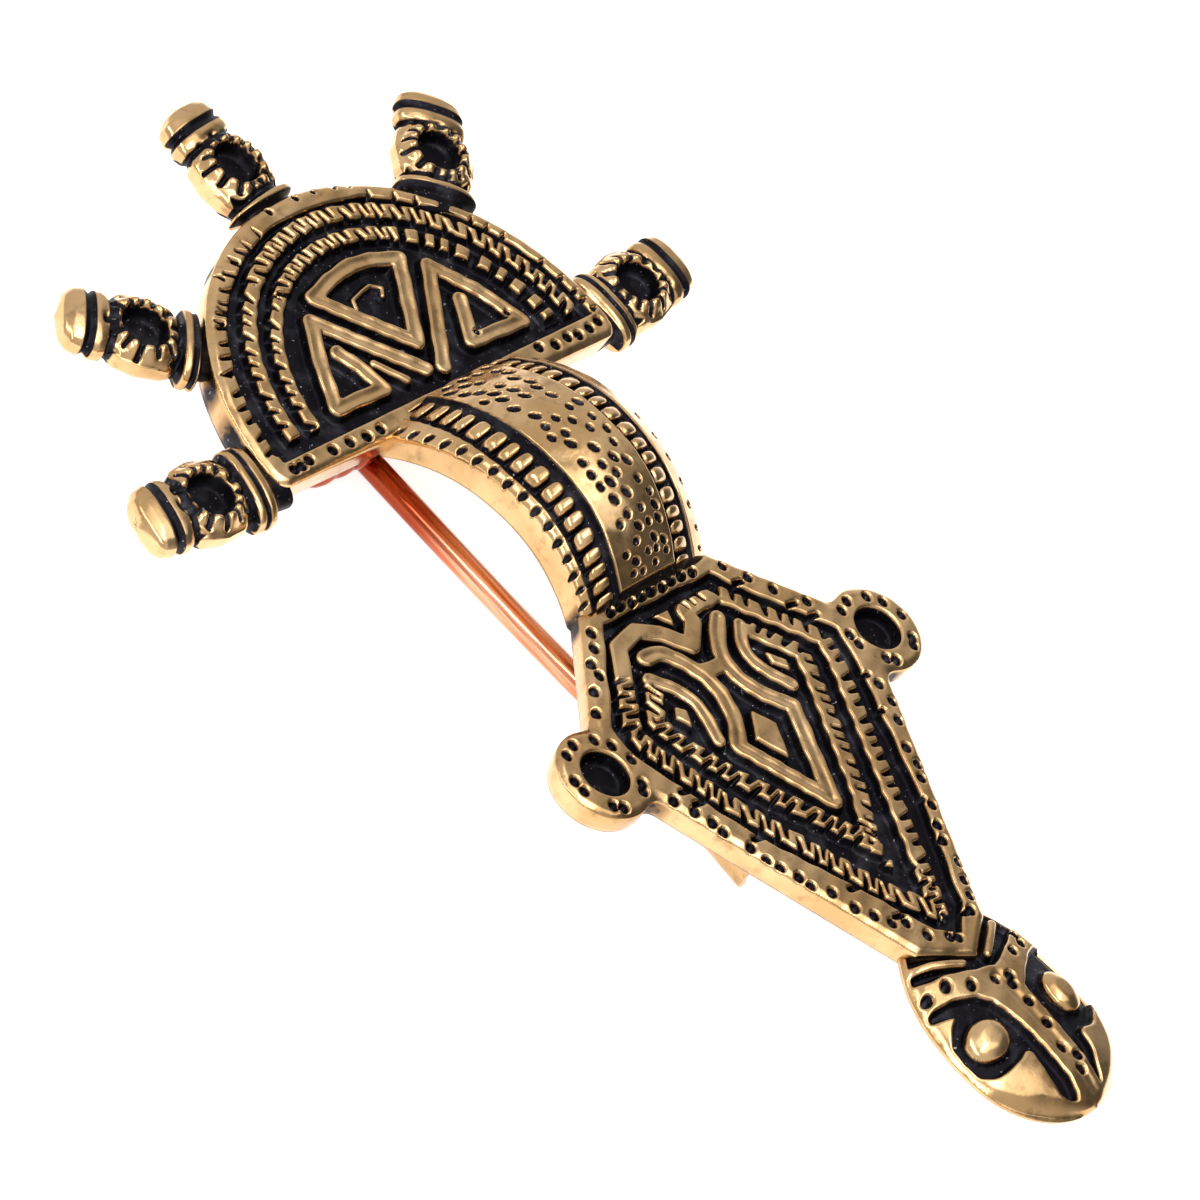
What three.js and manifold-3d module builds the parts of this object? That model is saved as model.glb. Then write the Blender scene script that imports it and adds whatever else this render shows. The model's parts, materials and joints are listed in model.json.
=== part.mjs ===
// A cast five-knob bow brooch with chip-carved relief, lying on its back with the
// decorated face up. Two pieces: the bronze casting (head plate, knobs, bow, foot
// plate, animal head, pin lug and catch in one) and the copper pin with its coil.
//
// The brooch is laid out in modules, like the carver's pattern: the straight base of
// the head plate is 24 modules long and its middle is the pattern's origin. +Y runs
// to the middle knob, +Z out of the decorated face. The finished group is in
// millimetres, with the origin under the middle of its box.

import * as THREE from "three";
import { mergeVertices } from "three/addons/utils/BufferGeometryUtils.js";
import Module from "manifold-3d";

const wasm = await Module();
wasm.setup();

// ---- driving dimensions, in modules unless a name says otherwise ----
const MODULE_MM = 1.2;                  // so the brooch is about 78 mm long
const GAP = 0.25;                       // clearance between the casting and the copper

const RELIEF = 0.55;                    // how far the ridges stand over the cut floor
const HEAD_THICK = 2.0;
const HEAD_HALF = 12.0;                 // half of the straight base
const HEAD_ARC = { x: 0, y: 1.08, r: 12.27 };
const HEAD_PITCH = 1.5;                 // degrees the head plate rises to its top
const HEAD_ROLL = 0.7;                  // degrees its right side rises
const RIM = 1.05;
const BASE_BAR = 1.15;
const OUTER_BAND = { x: 0.45, y: 1.6, r: 10.05, width: 0.75, beads: 27, foot: 1.5 };
const INNER_BAND = { x: 0.45, y: 1.7, r: 8.6, width: 0.65, beads: 23, foot: 1.5 };
const BAR = 0.66;                       // width of the bars of the triangle figures

const KNOBS = [                         // compass angle from +Y, and how far each sits low
  { angle: -85.5, drop: 0.1 }, { angle: -50.4, drop: 0.3 }, { angle: -3.5, drop: 0.1 },
  { angle: 39.5, drop: -0.2 }, { angle: 82.5, drop: 0.35 },
];
const KNOB_ROOT = { depth: 0.8, half: 1.5 };   // the stem buried in the plate's edge
const KNOB_SOCKET_R = 15.99;            // distance of each socket from the origin
const SOCKET = { radius: 1.07, depth: 0.95, collar: 1.9, top: 0.22 };
const KNOB_AXIS_Z = -0.95;
const KNOB_FLAT = 0.5;                  // height of a knob over its width

const BOW = {
  headY: 0.6, footY: -12.93,            // the ends of the arch
  headZ: -0.8, footZ: 1.6, rise: 3.05,  // heights of its long edges
  headHalf: 5.25, footHalf: 4.45,
  headShift: 0.85, twist: 0.5,          // it leans to its right where it leaves the head
  crown: 1.8, headCrown: 1.7, footCrown: 1.3,
  wall: 1.6, power: 2.2,
  beads: 18, cut: 0.36,
  rows: [[-0.73, -0.52], [0.35, 0.53]], // the beaded rows, as shares of the half width
  edge: 0.09,                           // and the groove on each side of a row
};

const FOOT_Z = 1.78;                    // height of the foot plate's face at its top
const FOOT_PITCH = -1.36;               // degrees; the foot end lies higher
const FOOT_TOP_Y = -12.0;
const FOOT_THICK = 1.5;
const FOOT_RIM = 1.25;
const LOBE = { x: 10.27, y: -19.94, r: 2.45, hole: 1.17, depth: 0.85 };
const BEAD_FOOT = 0.72;                 // width of the foot plate's beaded bands

const WIRE = 0.667;                     // radius of the copper wire
const COIL = { y: 3.0, z: -4.28, turns: 4, mid: 1.32 };
const LUG = { x: 0.2, thick: 1.0, wall: 0.72, side: 0.35 };
const PIN_ROOT = { x: -1.32, z: -5.6 };
const PIN_TIP = { x: 0.0, y: -26.2, z: -3.9 };
const CATCH = { top: -20.8, end: -25.8, plate: 0.5, gap: 0.32, open: 30 };

const deg = THREE.MathUtils.degToRad;

// ---- solids ----

// A closed three.js geometry as a manifold solid.
function solid(geometry) {
  const bare = geometry.index ? geometry.toNonIndexed() : geometry;
  bare.deleteAttribute("normal");
  bare.deleteAttribute("uv");
  const merged = mergeVertices(bare, 1e-4);
  return new wasm.Manifold(new wasm.Mesh({
    numProp: 3,
    vertProperties: new Float32Array(merged.attributes.position.array),
    triVerts: new Uint32Array(merged.index.array),
  }));
}

const union = (solids) => wasm.Manifold.union(solids);

// A flat outline raised from z0 to z1.
function slab(points, z0, z1, holes = []) {
  const shape = new THREE.Shape(points.map(([x, y]) => new THREE.Vector2(x, y)));
  for (const hole of holes) {
    shape.holes.push(new THREE.Path(hole.map(([x, y]) => new THREE.Vector2(x, y))));
  }
  const flat = new THREE.ExtrudeGeometry(shape, { depth: z1 - z0, bevelEnabled: false });
  return solid(flat.translate(0, 0, z0));
}

// Points along a circle from one compass angle to another (0 = +Y, clockwise).
function arc(x, y, r, from, to, steps) {
  return Array.from({ length: steps + 1 }, (_, i) => {
    const a = deg(from + ((to - from) * i) / steps);
    return [x + r * Math.sin(a), y + r * Math.cos(a)];
  });
}

// A line of points moved sideways by d, with mitred corners; a closed line stays closed.
function offset(points, d, closed = false) {
  const n = points.length;
  const at = (i) => points[closed ? (i + n) % n : Math.min(Math.max(i, 0), n - 1)];
  return points.map((p, i) => {
    const [ax, ay] = at(i - 1);
    const [bx, by] = at(i + 1);
    const before = new THREE.Vector2(p[0] - ax, p[1] - ay).normalize();
    const after = new THREE.Vector2(bx - p[0], by - p[1]).normalize();
    if (before.length() === 0) before.copy(after);
    if (after.length() === 0) after.copy(before);
    const mid = before.clone().add(after).normalize();
    const reach = d / Math.max(mid.dot(after), 0.45);
    return [p[0] - mid.y * reach, p[1] + mid.x * reach];
  });
}

// A raised bar of even width along a line.
function bar(points, width, z0, z1) {
  const left = offset(points, width / 2);
  const right = offset(points, -width / 2).reverse();
  return slab([...right, ...left], z0, z1);
}

// A raised bar that closes on itself.
function ring(points, width, z0, z1) {
  const out = offset(points, -width / 2, true);
  const inn = offset(points, width / 2, true);
  return slab(out, z0, z1, [inn]);
}

// Short blocks spaced evenly along a line, as the chisel leaves a beaded band.
function beadRow(points, width, count, z0, z1, fill = 0.72) {
  const path = new THREE.CurvePath();
  for (let i = 1; i < points.length; i += 1) {
    path.add(new THREE.LineCurve(
      new THREE.Vector2(...points[i - 1]),
      new THREE.Vector2(...points[i]),
    ));
  }
  const pitch = path.getLength() / count;
  return Array.from({ length: count }, (_, i) => {
    const mid = (i + 0.5) / count;
    const p = path.getPointAt(mid);
    const t = path.getTangentAt(mid);
    const block = new THREE.BoxGeometry(pitch * fill, width, z1 - z0);
    block.rotateZ(Math.atan2(t.y, t.x));
    return solid(block.translate(p.x, p.y, (z0 + z1) / 2));
  });
}

function pitchRoll(part, pitchDegrees, rollDegrees, pivotY) {
  const turn = new THREE.Matrix4().makeTranslation(0, pivotY, 0)
    .multiply(new THREE.Matrix4().makeRotationX(deg(pitchDegrees)))
    .multiply(new THREE.Matrix4().makeRotationY(deg(-rollDegrees)))
    .multiply(new THREE.Matrix4().makeTranslation(0, -pivotY, 0));
  return part.transform(turn.elements);
}

// ---- head plate ----

function headOutline(inset) {
  const { x, y, r } = HEAD_ARC;
  const half = HEAD_HALF - inset;
  const round = arc(x, y, r - inset, 90, -90, 26);
  return [...round, [-half, inset ? BASE_BAR : 0], [half, inset ? BASE_BAR : 0]];
}

function headBand(band) {
  const end = THREE.MathUtils.radToDeg(Math.acos((band.foot - band.y) / band.r));
  const line = arc(band.x, band.y, band.r, -end, end, 28);
  return beadRow(line, band.width, band.beads, -RELIEF - 0.1, -0.06);
}

function headFigures() {
  const floor = -RELIEF - 0.1;
  const left = [[0.05, 2.45], [-3.92, 7.0], [-5.15, 4.9], [-6.25, 2.45], [-2.95, 2.4], [-3.3, 3.9],
    [-3.85, 5.0]];
  const right = [[1.15, 2.2], [4.72, 7.2], [6.3, 5.0], [7.35, 2.62], [3.75, 2.75], [4.95, 4.95]];
  const middle = [[0.78, 3.85], [3.45, 8.15], [2.0, 8.62], [0.6, 8.8], [-1.1, 8.55], [-2.85, 8.0]];
  const short = [[-2.45, 3.75], [-1.35, 2.3]];
  return [
    bar(left, BAR, floor, 0),
    bar(right, BAR, floor, 0),
    ring(middle, BAR, floor, 0),
    bar(short, BAR * 0.6, floor, -0.1),
  ];
}

function headPlate() {
  const plate = slab(headOutline(0), -HEAD_THICK, 0);
  const field = slab(headOutline(RIM), -RELIEF, 1);
  return union([
    plate.subtract(field),
    ...headBand(OUTER_BAND),
    ...headBand(INNER_BAND),
    ...headFigures(),
  ]);
}

// ---- knobs ----

// Half widths of a knob along its length: two collar ridges at the plate, the round
// body, then two ridges and a blunt end.
const KNOB_PROFILE = [
  [12.85, 2.2], [13.25, 2.2], [13.4, 1.9], [13.6, 2.2], [13.9, 2.2], [14.1, 1.6], [14.7, 2.0],
  [16.0, 2.15], [17.2, 1.95], [17.75, 1.5], [18.05, 1.85], [18.45, 1.85], [18.7, 1.6],
  [19.0, 1.85], [19.6, 1.65], [20.05, 0.9], [20.2, 0],
];

// How far the plate's edge lies from the pattern's origin in a compass direction.
function plateEdge(angle) {
  const a = deg(angle);
  return HEAD_ARC.y * Math.cos(a) + Math.sqrt(HEAD_ARC.r ** 2 - (HEAD_ARC.y * Math.sin(a)) ** 2);
}

// A knob starts as a stem in the plate, and its collar only where it is clear of the plate.
function knob({ angle, drop }) {
  const edge = plateEdge(angle);
  const root = edge - KNOB_ROOT.depth;
  const clear = KNOB_PROFILE.filter(([along]) => along > edge + 0.1);
  const profile = [[root, 0], [root, KNOB_ROOT.half], [edge, KNOB_ROOT.half], ...clear];
  const body = new THREE.LatheGeometry(
    profile.map(([along, half]) => new THREE.Vector2(half, along)), 12,
  );
  body.scale(1, 1, KNOB_FLAT).translate(0, 0, KNOB_AXIS_Z);
  const height = SOCKET.top - KNOB_AXIS_Z;
  const collar = new THREE.CylinderGeometry(SOCKET.collar * 0.9, SOCKET.collar, height, 12);
  collar.rotateX(Math.PI / 2).translate(0, KNOB_SOCKET_R, KNOB_AXIS_Z + height / 2);
  const hole = new THREE.CylinderGeometry(SOCKET.radius, SOCKET.radius * 0.8, SOCKET.depth * 2, 12);
  hole.rotateX(Math.PI / 2).translate(0, KNOB_SOCKET_R, SOCKET.top);
  const whole = solid(body).add(solid(collar)).subtract(solid(hole));
  return whole.rotate([0, 0, -angle]).translate([0, 0, -drop]);
}

// ---- bow ----

// A point of the bow: side -1..1 across, along 0..1 from head to foot, down 0..1
// from the face to the back.
function bowPoint(side, along, down, lift) {
  const span = 2 * along - 1;
  const { lerp } = THREE.MathUtils;
  const x = side * lerp(BOW.headHalf, BOW.footHalf, along) + BOW.headShift * (1 - along);
  const y = lerp(BOW.headY, BOW.footY, along);
  const edge = lerp(BOW.headZ, BOW.footZ, along)
    + BOW.rise * (1 - Math.abs(span) ** BOW.power) + side * BOW.twist * (1 - along);
  const end = span < 0 ? BOW.headCrown : BOW.footCrown;
  const crown = lerp(BOW.crown, end, Math.abs(span) ** 3);
  const face = edge + crown * (1 - side * side) + lift;
  const plateBack = lerp(-HEAD_THICK, FOOT_Z - FOOT_THICK, along) + 0.17;
  const back = Math.max(edge - BOW.wall, plateBack);
  return new THREE.Vector3(x, y, lerp(face, back, down));
}

// Equal steps along the arch rather than along Y, so the ends aren't stretched.
function bowStep(t) {
  return 0.5 - 0.5 * Math.cos(Math.PI * (0.15 + 0.7 * t)) / Math.cos(Math.PI * 0.15);
}

// The bow's section: two cut channels for the beads, and between them the panel.
function bowSection() {
  const step = 0.02;
  const cuts = BOW.rows.flatMap(([from, to]) => [
    [from - BOW.edge - step, 0], [from - BOW.edge, -BOW.cut], [to + BOW.edge, -BOW.cut],
    [to + BOW.edge + step, 0],
  ]);
  return [[-1, 0], ...cuts, [-0.08, 0], [1, 0]].sort((a, b) => a[0] - b[0]);
}

function bow() {
  const steps = 14;
  const section = bowSection();
  const block = new THREE.BoxGeometry(1, 1, 1, section.length - 1, steps, 1);
  const place = block.attributes.position;
  for (let i = 0; i < place.count; i += 1) {
    const [side, lift] = section[Math.round((place.getX(i) + 0.5) * (section.length - 1))];
    const p = bowPoint(side, bowStep(0.5 - place.getY(i)), 0.5 - place.getZ(i), lift);
    place.setXYZ(i, p.x, p.y, p.z);
  }
  const beads = BOW.rows.flatMap((row) => Array.from(
    { length: BOW.beads },
    (_, i) => bowBead(row, (i + 0.5) / BOW.beads),
  ));
  return union([solid(block), ...beads]);
}

function bowBead(row, t) {
  const half = 0.34 / BOW.beads;
  const bead = new THREE.BoxGeometry(1, 1, 1);
  const place = bead.attributes.position;
  for (let i = 0; i < place.count; i += 1) {
    const across = place.getX(i) < 0 ? row[0] : row[1];
    const along = bowStep(t - 2 * half * place.getY(i));
    const p = bowPoint(across, along, 0, place.getZ(i) > 0 ? -0.03 : -BOW.cut - 0.15);
    place.setXYZ(i, p.x, p.y, p.z);
  }
  return solid(bead);
}

// ---- foot plate ----

const FOOT_SIDE = [[4.6, -12.7], [8.7, -17.4], [9.5, -20.0], [8.3, -22.9], [2.5, -34.6]];

const mirrorX = ([x, y]) => [-x, y];
const bothSides = (side) => [...side, ...side.map(mirrorX).reverse()];

function footFigures() {
  const low = -RELIEF - 0.1;
  const mid = -0.06;
  const bandLeft = [[-1.35, -15.2], [-2.5, -14.5], [-4.1, -14.85], [-7.05, -18.8], [-7.0, -19.9],
    [-5.4, -24.0], [-1.5, -31.1], [0.4, -33.4]];
  const bandRight = [[0.4, -33.4], [2.4, -29.3], [6.5, -20.5], [6.9, -19.1], [5.8, -17.7],
    [3.4, -14.7], [0.9, -14.7], [0.85, -15.4], [-0.3, -16.4], [-1.35, -15.2]];
  const innerLeft = [[-4.0, -17.3], [-5.5, -18.9], [-5.2, -20.2], [-3.9, -23.0], [0.05, -28.9]];
  const innerRight = [[0.05, -28.9], [1.6, -26.7], [4.6, -20.5], [5.1, -19.2], [3.4, -17.0]];
  const eyeLeft = [[-4.0, -16.9], [-2.95, -18.0], [-2.55, -19.3], [-3.15, -21.1]];
  const eyeRight = [[3.15, -16.6], [2.25, -17.6], [2.15, -18.8], [3.15, -20.4]];
  const armLeft = [[-3.1, -15.9], [-2.1, -16.1], [-1.0, -17.6], [-0.95, -19.3], [-1.4, -20.7],
    [-2.35, -21.8], [0.0, -26.3]];
  const armRight = [[2.3, -15.8], [1.1, -16.9], [0.55, -18.2], [1.1, -19.9], [2.2, -21.3],
    [0.0, -26.3]];
  return [
    ...beadRow(bandLeft, BEAD_FOOT, 21, low, mid),
    ...beadRow(bandRight, BEAD_FOOT, 26, low, mid),
    ...beadRow(innerLeft, BEAD_FOOT, 12, low, mid),
    ...beadRow(innerRight, BEAD_FOOT, 12, low, mid),
    bar(eyeLeft, 0.55, low, 0),
    bar(eyeRight, 0.55, low, 0),
    bar(armLeft, 0.6, low, 0),
    bar(armRight, 0.6, low, 0),
    bar([[-1.0, -17.8], [0.55, -17.95]], 0.6, low, 0),
    slab([[-0.2, -20.6], [-1.2, -21.9], [-0.35, -23.4], [0.5, -21.7]], low, 0),
    slab([[-3.9, -18.7], [-4.3, -19.2], [-3.9, -19.9], [-3.5, -19.1]], low, 0),
    slab([[3.2, -18.4], [3.1, -19.0], [3.7, -19.7], [3.9, -19.2]], low, 0),
    slab([[-0.9, -14.3], [-0.3, -15.1], [0.05, -14.3]], low, 0),
  ];
}

function footPlate() {
  const outline = bothSides(FOOT_SIDE).reverse();
  const field = offset(outline, FOOT_RIM, true).map(([x, y]) => [x, Math.min(y, -13.45)]);
  const lobes = [];
  const holes = [];
  for (const side of [-1, 1]) {
    const lobe = new THREE.CylinderGeometry(LOBE.r, LOBE.r * 0.95, FOOT_THICK, 18);
    lobes.push(lobe.rotateX(Math.PI / 2).translate(side * LOBE.x, LOBE.y, -FOOT_THICK / 2));
    const hole = new THREE.CylinderGeometry(LOBE.hole, LOBE.hole * 0.85, LOBE.depth * 2, 14);
    holes.push(hole.rotateX(Math.PI / 2).translate(side * LOBE.x, LOBE.y, 0));
  }
  const plate = slab(outline, -FOOT_THICK, 0).subtract(slab(field, -RELIEF, 1));
  const whole = union([plate, ...lobes.map(solid), ...footFigures()]);
  return whole.subtract(union(holes.map(solid)));
}

// ---- animal head ----

const SNOUT = { y: -39.6, half: 4.75, front: -44.9, back: -33.9, neck: 2.7, top: 0.1 };

// Half width of the animal's head at a place along it: a neck, round cheeks, a blunt nose.
function snoutHalf(y) {
  if (y > SNOUT.y) {
    const t = (y - SNOUT.y) / (SNOUT.back - SNOUT.y);
    return THREE.MathUtils.lerp(SNOUT.half, SNOUT.neck, t ** 2.4);
  }
  const t = (y - SNOUT.y) / (SNOUT.front - SNOUT.y);
  return SNOUT.half * Math.sqrt(Math.max(1 - t ** 2.3, 0));
}

function animalHead() {
  const levels = [[-FOOT_THICK, 0.72], [-FOOT_THICK * 0.75, 0.95], [-0.75, 1], [-0.3, 0.86]];
  const rows = 12;
  const parts = [];
  for (let i = 1; i < levels.length; i += 1) {
    parts.push(snoutLayer(levels[i - 1], levels[i], rows));
  }
  const low = -0.7;
  const brow = [[-4.1, -36.35], [-2.0, -36.9], [0.3, -37.7], [2.0, -37.0], [3.9, -36.2]];
  parts.push(bar(brow, 1.25, low, SNOUT.top));
  parts.push(bar([[0.4, -37.6], [0.5, -44.1]], 1.35, low, SNOUT.top));
  parts.push(bar([[-2.9, -34.6], [0.3, -35.95], [2.6, -34.8]], 0.35, low, -0.12));
  for (const side of [-1, 1]) {
    const eye = new THREE.SphereGeometry(1, 12, 8);
    eye.scale(1.25, 1.1, 0.75).translate(side * 3.05, -39.7, -0.3);
    parts.push(solid(eye));
    const cheek = [[side * 4.1, -41.5], [side * 1.6 + 0.2, -41.6], [side * 1.5 + 0.3, -43.8]];
    parts.push(slab(side > 0 ? cheek.reverse() : cheek, low, -0.1));
  }
  return union(parts);
}

// One layer of the head between two heights, each outline narrowed by its own share.
function snoutLayer([z0, share0], [z1, share1], rows) {
  const layer = new THREE.BoxGeometry(1, 1, 1, 1, rows, 1);
  const place = layer.attributes.position;
  for (let i = 0; i < place.count; i += 1) {
    const top = place.getZ(i) > 0;
    const share = top ? share1 : share0;
    const t = 0.5 - 0.5 * Math.cos(Math.PI * (0.5 - place.getY(i)));
    const y = THREE.MathUtils.lerp(SNOUT.back, SNOUT.front + 0.02 + (1 - share) * 2, t);
    const half = Math.max(snoutHalf(y) * share, 0.15);
    place.setXYZ(i, 2 * place.getX(i) * half, y, top ? z1 : z0);
  }
  return solid(layer);
}

// ---- fittings on the back ----

// The tongue that carries the coil, with a round hole along X.
function lug() {
  const hole = WIRE + GAP;
  const r = hole + LUG.wall;
  const round = arc(COIL.y, COIL.z, r, 90, 270, 10);
  const shape = new THREE.Shape([...round, [COIL.y - r, -1.2], [COIL.y + r, -1.2]]
    .map(([y, z]) => new THREE.Vector2(y, z)));
  shape.holes.push(new THREE.Path().absarc(COIL.y, COIL.z, hole, 0, 2 * Math.PI));
  const tongue = new THREE.ExtrudeGeometry(shape, {
    depth: LUG.thick, bevelEnabled: false, curveSegments: 7,
  });
  // the shape's own x runs along +Y and its extrusion along +X
  const turn = new THREE.Matrix4().makeBasis(
    new THREE.Vector3(0, 1, 0), new THREE.Vector3(0, 0, 1), new THREE.Vector3(1, 0, 0),
  );
  tongue.applyMatrix4(turn).translate(LUG.x - LUG.thick / 2, 0, 0);
  return solid(tongue);
}

// A plate down from the foot on the pin's left that turns under the pin, and ends
// short of its lowest line, so that the pin can be drawn out to the right.
function pinCatch() {
  const middle = (CATCH.top + CATCH.end) / 2;
  const share = (middle - COIL.y) / (PIN_TIP.y - COIL.y);
  const x = THREE.MathUtils.lerp(PIN_ROOT.x, PIN_TIP.x, share);
  const z = THREE.MathUtils.lerp(PIN_ROOT.z, PIN_TIP.z, share);
  const inner = WIRE + CATCH.gap;
  const outer = inner + CATCH.plate;
  const buried = FOOT_Z - RELIEF - 0.1;
  const under = (r) => arc(x, z, r, 270, 180 + CATCH.open, 5);
  const hook = [[x - inner, buried], [x - outer, buried], ...under(outer), ...under(inner).reverse()];
  const shape = new THREE.Shape(hook.map(([px, pz]) => new THREE.Vector2(px, pz)));
  const plate = new THREE.ExtrudeGeometry(shape, { depth: CATCH.top - CATCH.end, bevelEnabled: false });
  plate.rotateX(Math.PI / 2).translate(0, CATCH.top, 0);
  return solid(plate);
}

// ---- the copper pin ----

// Coil turns on both sides of the lug, their core through its hole, and the shaft.
function copperPin() {
  const outside = COIL.mid + WIRE;
  const valley = outside - 0.32;
  const leftEnd = LUG.x - LUG.thick / 2 - LUG.side - COIL.turns * 2 * WIRE;
  const rightStart = LUG.x + LUG.thick / 2 + LUG.side;
  const half = (start) => {
    const points = [];
    for (let i = 0; i < COIL.turns; i += 1) {
      const x = start + i * 2 * WIRE;
      points.push([valley, x], [outside, x + WIRE * 0.6], [outside, x + WIRE * 1.4]);
    }
    return [...points, [valley, start + COIL.turns * 2 * WIRE]];
  };
  const leftHalf = half(leftEnd);
  const rightHalf = half(rightStart);
  const profile = [[0, leftEnd], ...leftHalf, [WIRE, leftHalf.at(-1)[1]], [WIRE, rightStart],
    ...rightHalf, [0, rightHalf.at(-1)[1]]];
  const coil = new THREE.LatheGeometry(profile.map(([r, x]) => new THREE.Vector2(r, x)), 12);
  coil.rotateZ(-Math.PI / 2).translate(0, COIL.y, COIL.z);

  const root = new THREE.Vector3(PIN_ROOT.x, COIL.y, PIN_ROOT.z);
  const tip = new THREE.Vector3(PIN_TIP.x, PIN_TIP.y, PIN_TIP.z);
  const length = root.distanceTo(tip);
  const taper = [[0, 0], [WIRE, 0], [WIRE, length - 5], [WIRE * 0.55, length - 1.4],
    [WIRE * 0.12, length], [0, length]];
  const shaft = new THREE.LatheGeometry(taper.map(([r, y]) => new THREE.Vector2(r, y)), 10);
  const aim = new THREE.Quaternion().setFromUnitVectors(
    new THREE.Vector3(0, 1, 0), tip.clone().sub(root).normalize(),
  );
  shaft.applyQuaternion(aim).translate(root.x, root.y, root.z);
  return solid(coil).add(solid(shaft));
}

// ---- the whole brooch ----

function casting() {
  const head = pitchRoll(
    union([headPlate(), ...KNOBS.map(knob)]), HEAD_PITCH, HEAD_ROLL, 0,
  );
  const foot = pitchRoll(union([footPlate(), animalHead()]), FOOT_PITCH, 0, FOOT_TOP_Y)
    .translate([0, 0, FOOT_Z]);
  return union([head, bow(), foot, lug(), pinCatch()]);
}

const bronze = new THREE.MeshStandardMaterial({ color: 0xb8925a, metalness: 1, roughness: 0.35 });
const copper = new THREE.MeshStandardMaterial({ color: 0xc0694a, metalness: 1, roughness: 0.3 });

function meshOf(name, whole, material) {
  const { numProp, vertProperties, triVerts } = whole.getMesh();
  const geometry = new THREE.BufferGeometry();
  const place = new Float32Array((vertProperties.length / numProp) * 3);
  for (let i = 0; i < place.length / 3; i += 1) {
    place.set(vertProperties.subarray(i * numProp, i * numProp + 3), i * 3);
  }
  geometry.setAttribute("position", new THREE.BufferAttribute(place, 3));
  geometry.setIndex(new THREE.BufferAttribute(new Uint32Array(triVerts), 1));
  const mesh = new THREE.Mesh(geometry, material);
  mesh.name = name;
  return mesh;
}

const brooch = new THREE.Group();
const pieces = [meshOf("casting", casting(), bronze), meshOf("pin", copperPin(), copper)];
const box = new THREE.Box3();
for (const piece of pieces) {
  piece.geometry.scale(MODULE_MM, MODULE_MM, MODULE_MM);
  piece.geometry.computeBoundingBox();
  box.union(piece.geometry.boundingBox);
  brooch.add(piece);
}
const middle = box.getCenter(new THREE.Vector3());
for (const piece of pieces) piece.geometry.translate(-middle.x, -middle.y, -box.min.z);

export default brooch;
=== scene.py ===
# %% [markdown]
# # A cast bow brooch with five knobs
# The brooch is one bronze casting and one copper wire. The casting is built here in
# the parts that its maker would have carved in the wax: head plate, knobs, bow, foot
# plate, animal head, and the lug and catch on the back. All of them ride on the body
# "brooch". The wire rides on the body "wire", so it can swing out of the catch.

# %% Load the frame
import json
import math
import random

import bmesh
import bpy
import numpy as np
from mathutils import Matrix, Vector


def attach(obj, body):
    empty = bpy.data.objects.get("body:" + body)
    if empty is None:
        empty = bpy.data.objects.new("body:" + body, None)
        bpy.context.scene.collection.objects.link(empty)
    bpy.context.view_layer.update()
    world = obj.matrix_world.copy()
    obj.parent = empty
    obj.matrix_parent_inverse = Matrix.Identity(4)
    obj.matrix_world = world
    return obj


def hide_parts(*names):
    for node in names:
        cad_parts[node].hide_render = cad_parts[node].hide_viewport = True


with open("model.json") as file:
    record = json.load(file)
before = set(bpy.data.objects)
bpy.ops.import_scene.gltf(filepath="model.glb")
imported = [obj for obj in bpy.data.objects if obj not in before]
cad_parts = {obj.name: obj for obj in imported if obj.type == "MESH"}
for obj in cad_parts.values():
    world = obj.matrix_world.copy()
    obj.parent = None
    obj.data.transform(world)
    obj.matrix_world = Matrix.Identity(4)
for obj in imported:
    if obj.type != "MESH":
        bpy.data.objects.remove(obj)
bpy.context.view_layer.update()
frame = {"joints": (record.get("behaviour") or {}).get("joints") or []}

# %% [markdown]
# ## The carver's module
# A carver lays such a pattern out in even steps, so every size here is in modules:
# the straight base of the head plate is 24 of them. Millimetres would do too, but the
# even steps would be harder to see. The pattern starts in the middle of that base, +Y
# runs to the middle knob and +Z comes out of the decorated face. The hinge of the wire
# is known in both systems, which gives the pattern's place.

# %% Modules and their place
MODULE = 0.0012
HINGE = Vector((0.2, 3.0, -4.28))
ORIGIN = Vector(frame["joints"][0]["pos_m"]) - MODULE * HINGE
TO_FRAME = Matrix.Translation(ORIGIN) @ Matrix.Scale(MODULE, 4)
print("pattern origin", [round(v, 6) for v in ORIGIN])

RELIEF = 0.55
HEAD_THICK = 2.0
FOOT_THICK = 1.5
HEAD_PITCH, HEAD_ROLL = 1.5, -0.7
FOOT_PITCH, FOOT_LIFT, FOOT_TOP_Y = -1.36, 1.78, -12.0
HEAD_TURN = (Matrix.Rotation(math.radians(HEAD_PITCH), 4, "X")
             @ Matrix.Rotation(math.radians(HEAD_ROLL), 4, "Y"))
FOOT_TOP = Matrix.Translation((0, FOOT_TOP_Y, 0))
FOOT_TURN = (Matrix.Translation((0, 0, FOOT_LIFT)) @ FOOT_TOP
             @ Matrix.Rotation(math.radians(FOOT_PITCH), 4, "X") @ FOOT_TOP.inverted())

# %% [markdown]
# ## Carving as a depth
# The ornament was cut into wax with a small chisel and punched with a round point.
# Every carved face is therefore a fine grid, and a few functions say how deep the
# tool went at each place: 0 on an untouched ridge, RELIEF on the floor. Boolean cuts
# could do it one by one, but there are hundreds, and they would leave no depth to read
# later. The depth is kept on the mesh, because the black of the recesses follows it.

# %% Helpers for depths
def smooth(value):
    """0 below 0, 1 above 1, and an even turn between them."""
    t = np.clip(value, 0, 1)
    return t * t * (3 - 2 * t)


def mix(a, b, t):
    return a + (b - a) * t


def waver(x, y, pace=1.0):
    """A slow unevenness of a hand-cut edge, about -1 to 1."""
    return 0.5 * (np.sin(pace * (2.1 * x + 1.3 * y)) + np.sin(pace * (3.7 * y - 1.9 * x) + 1.0))


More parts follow.
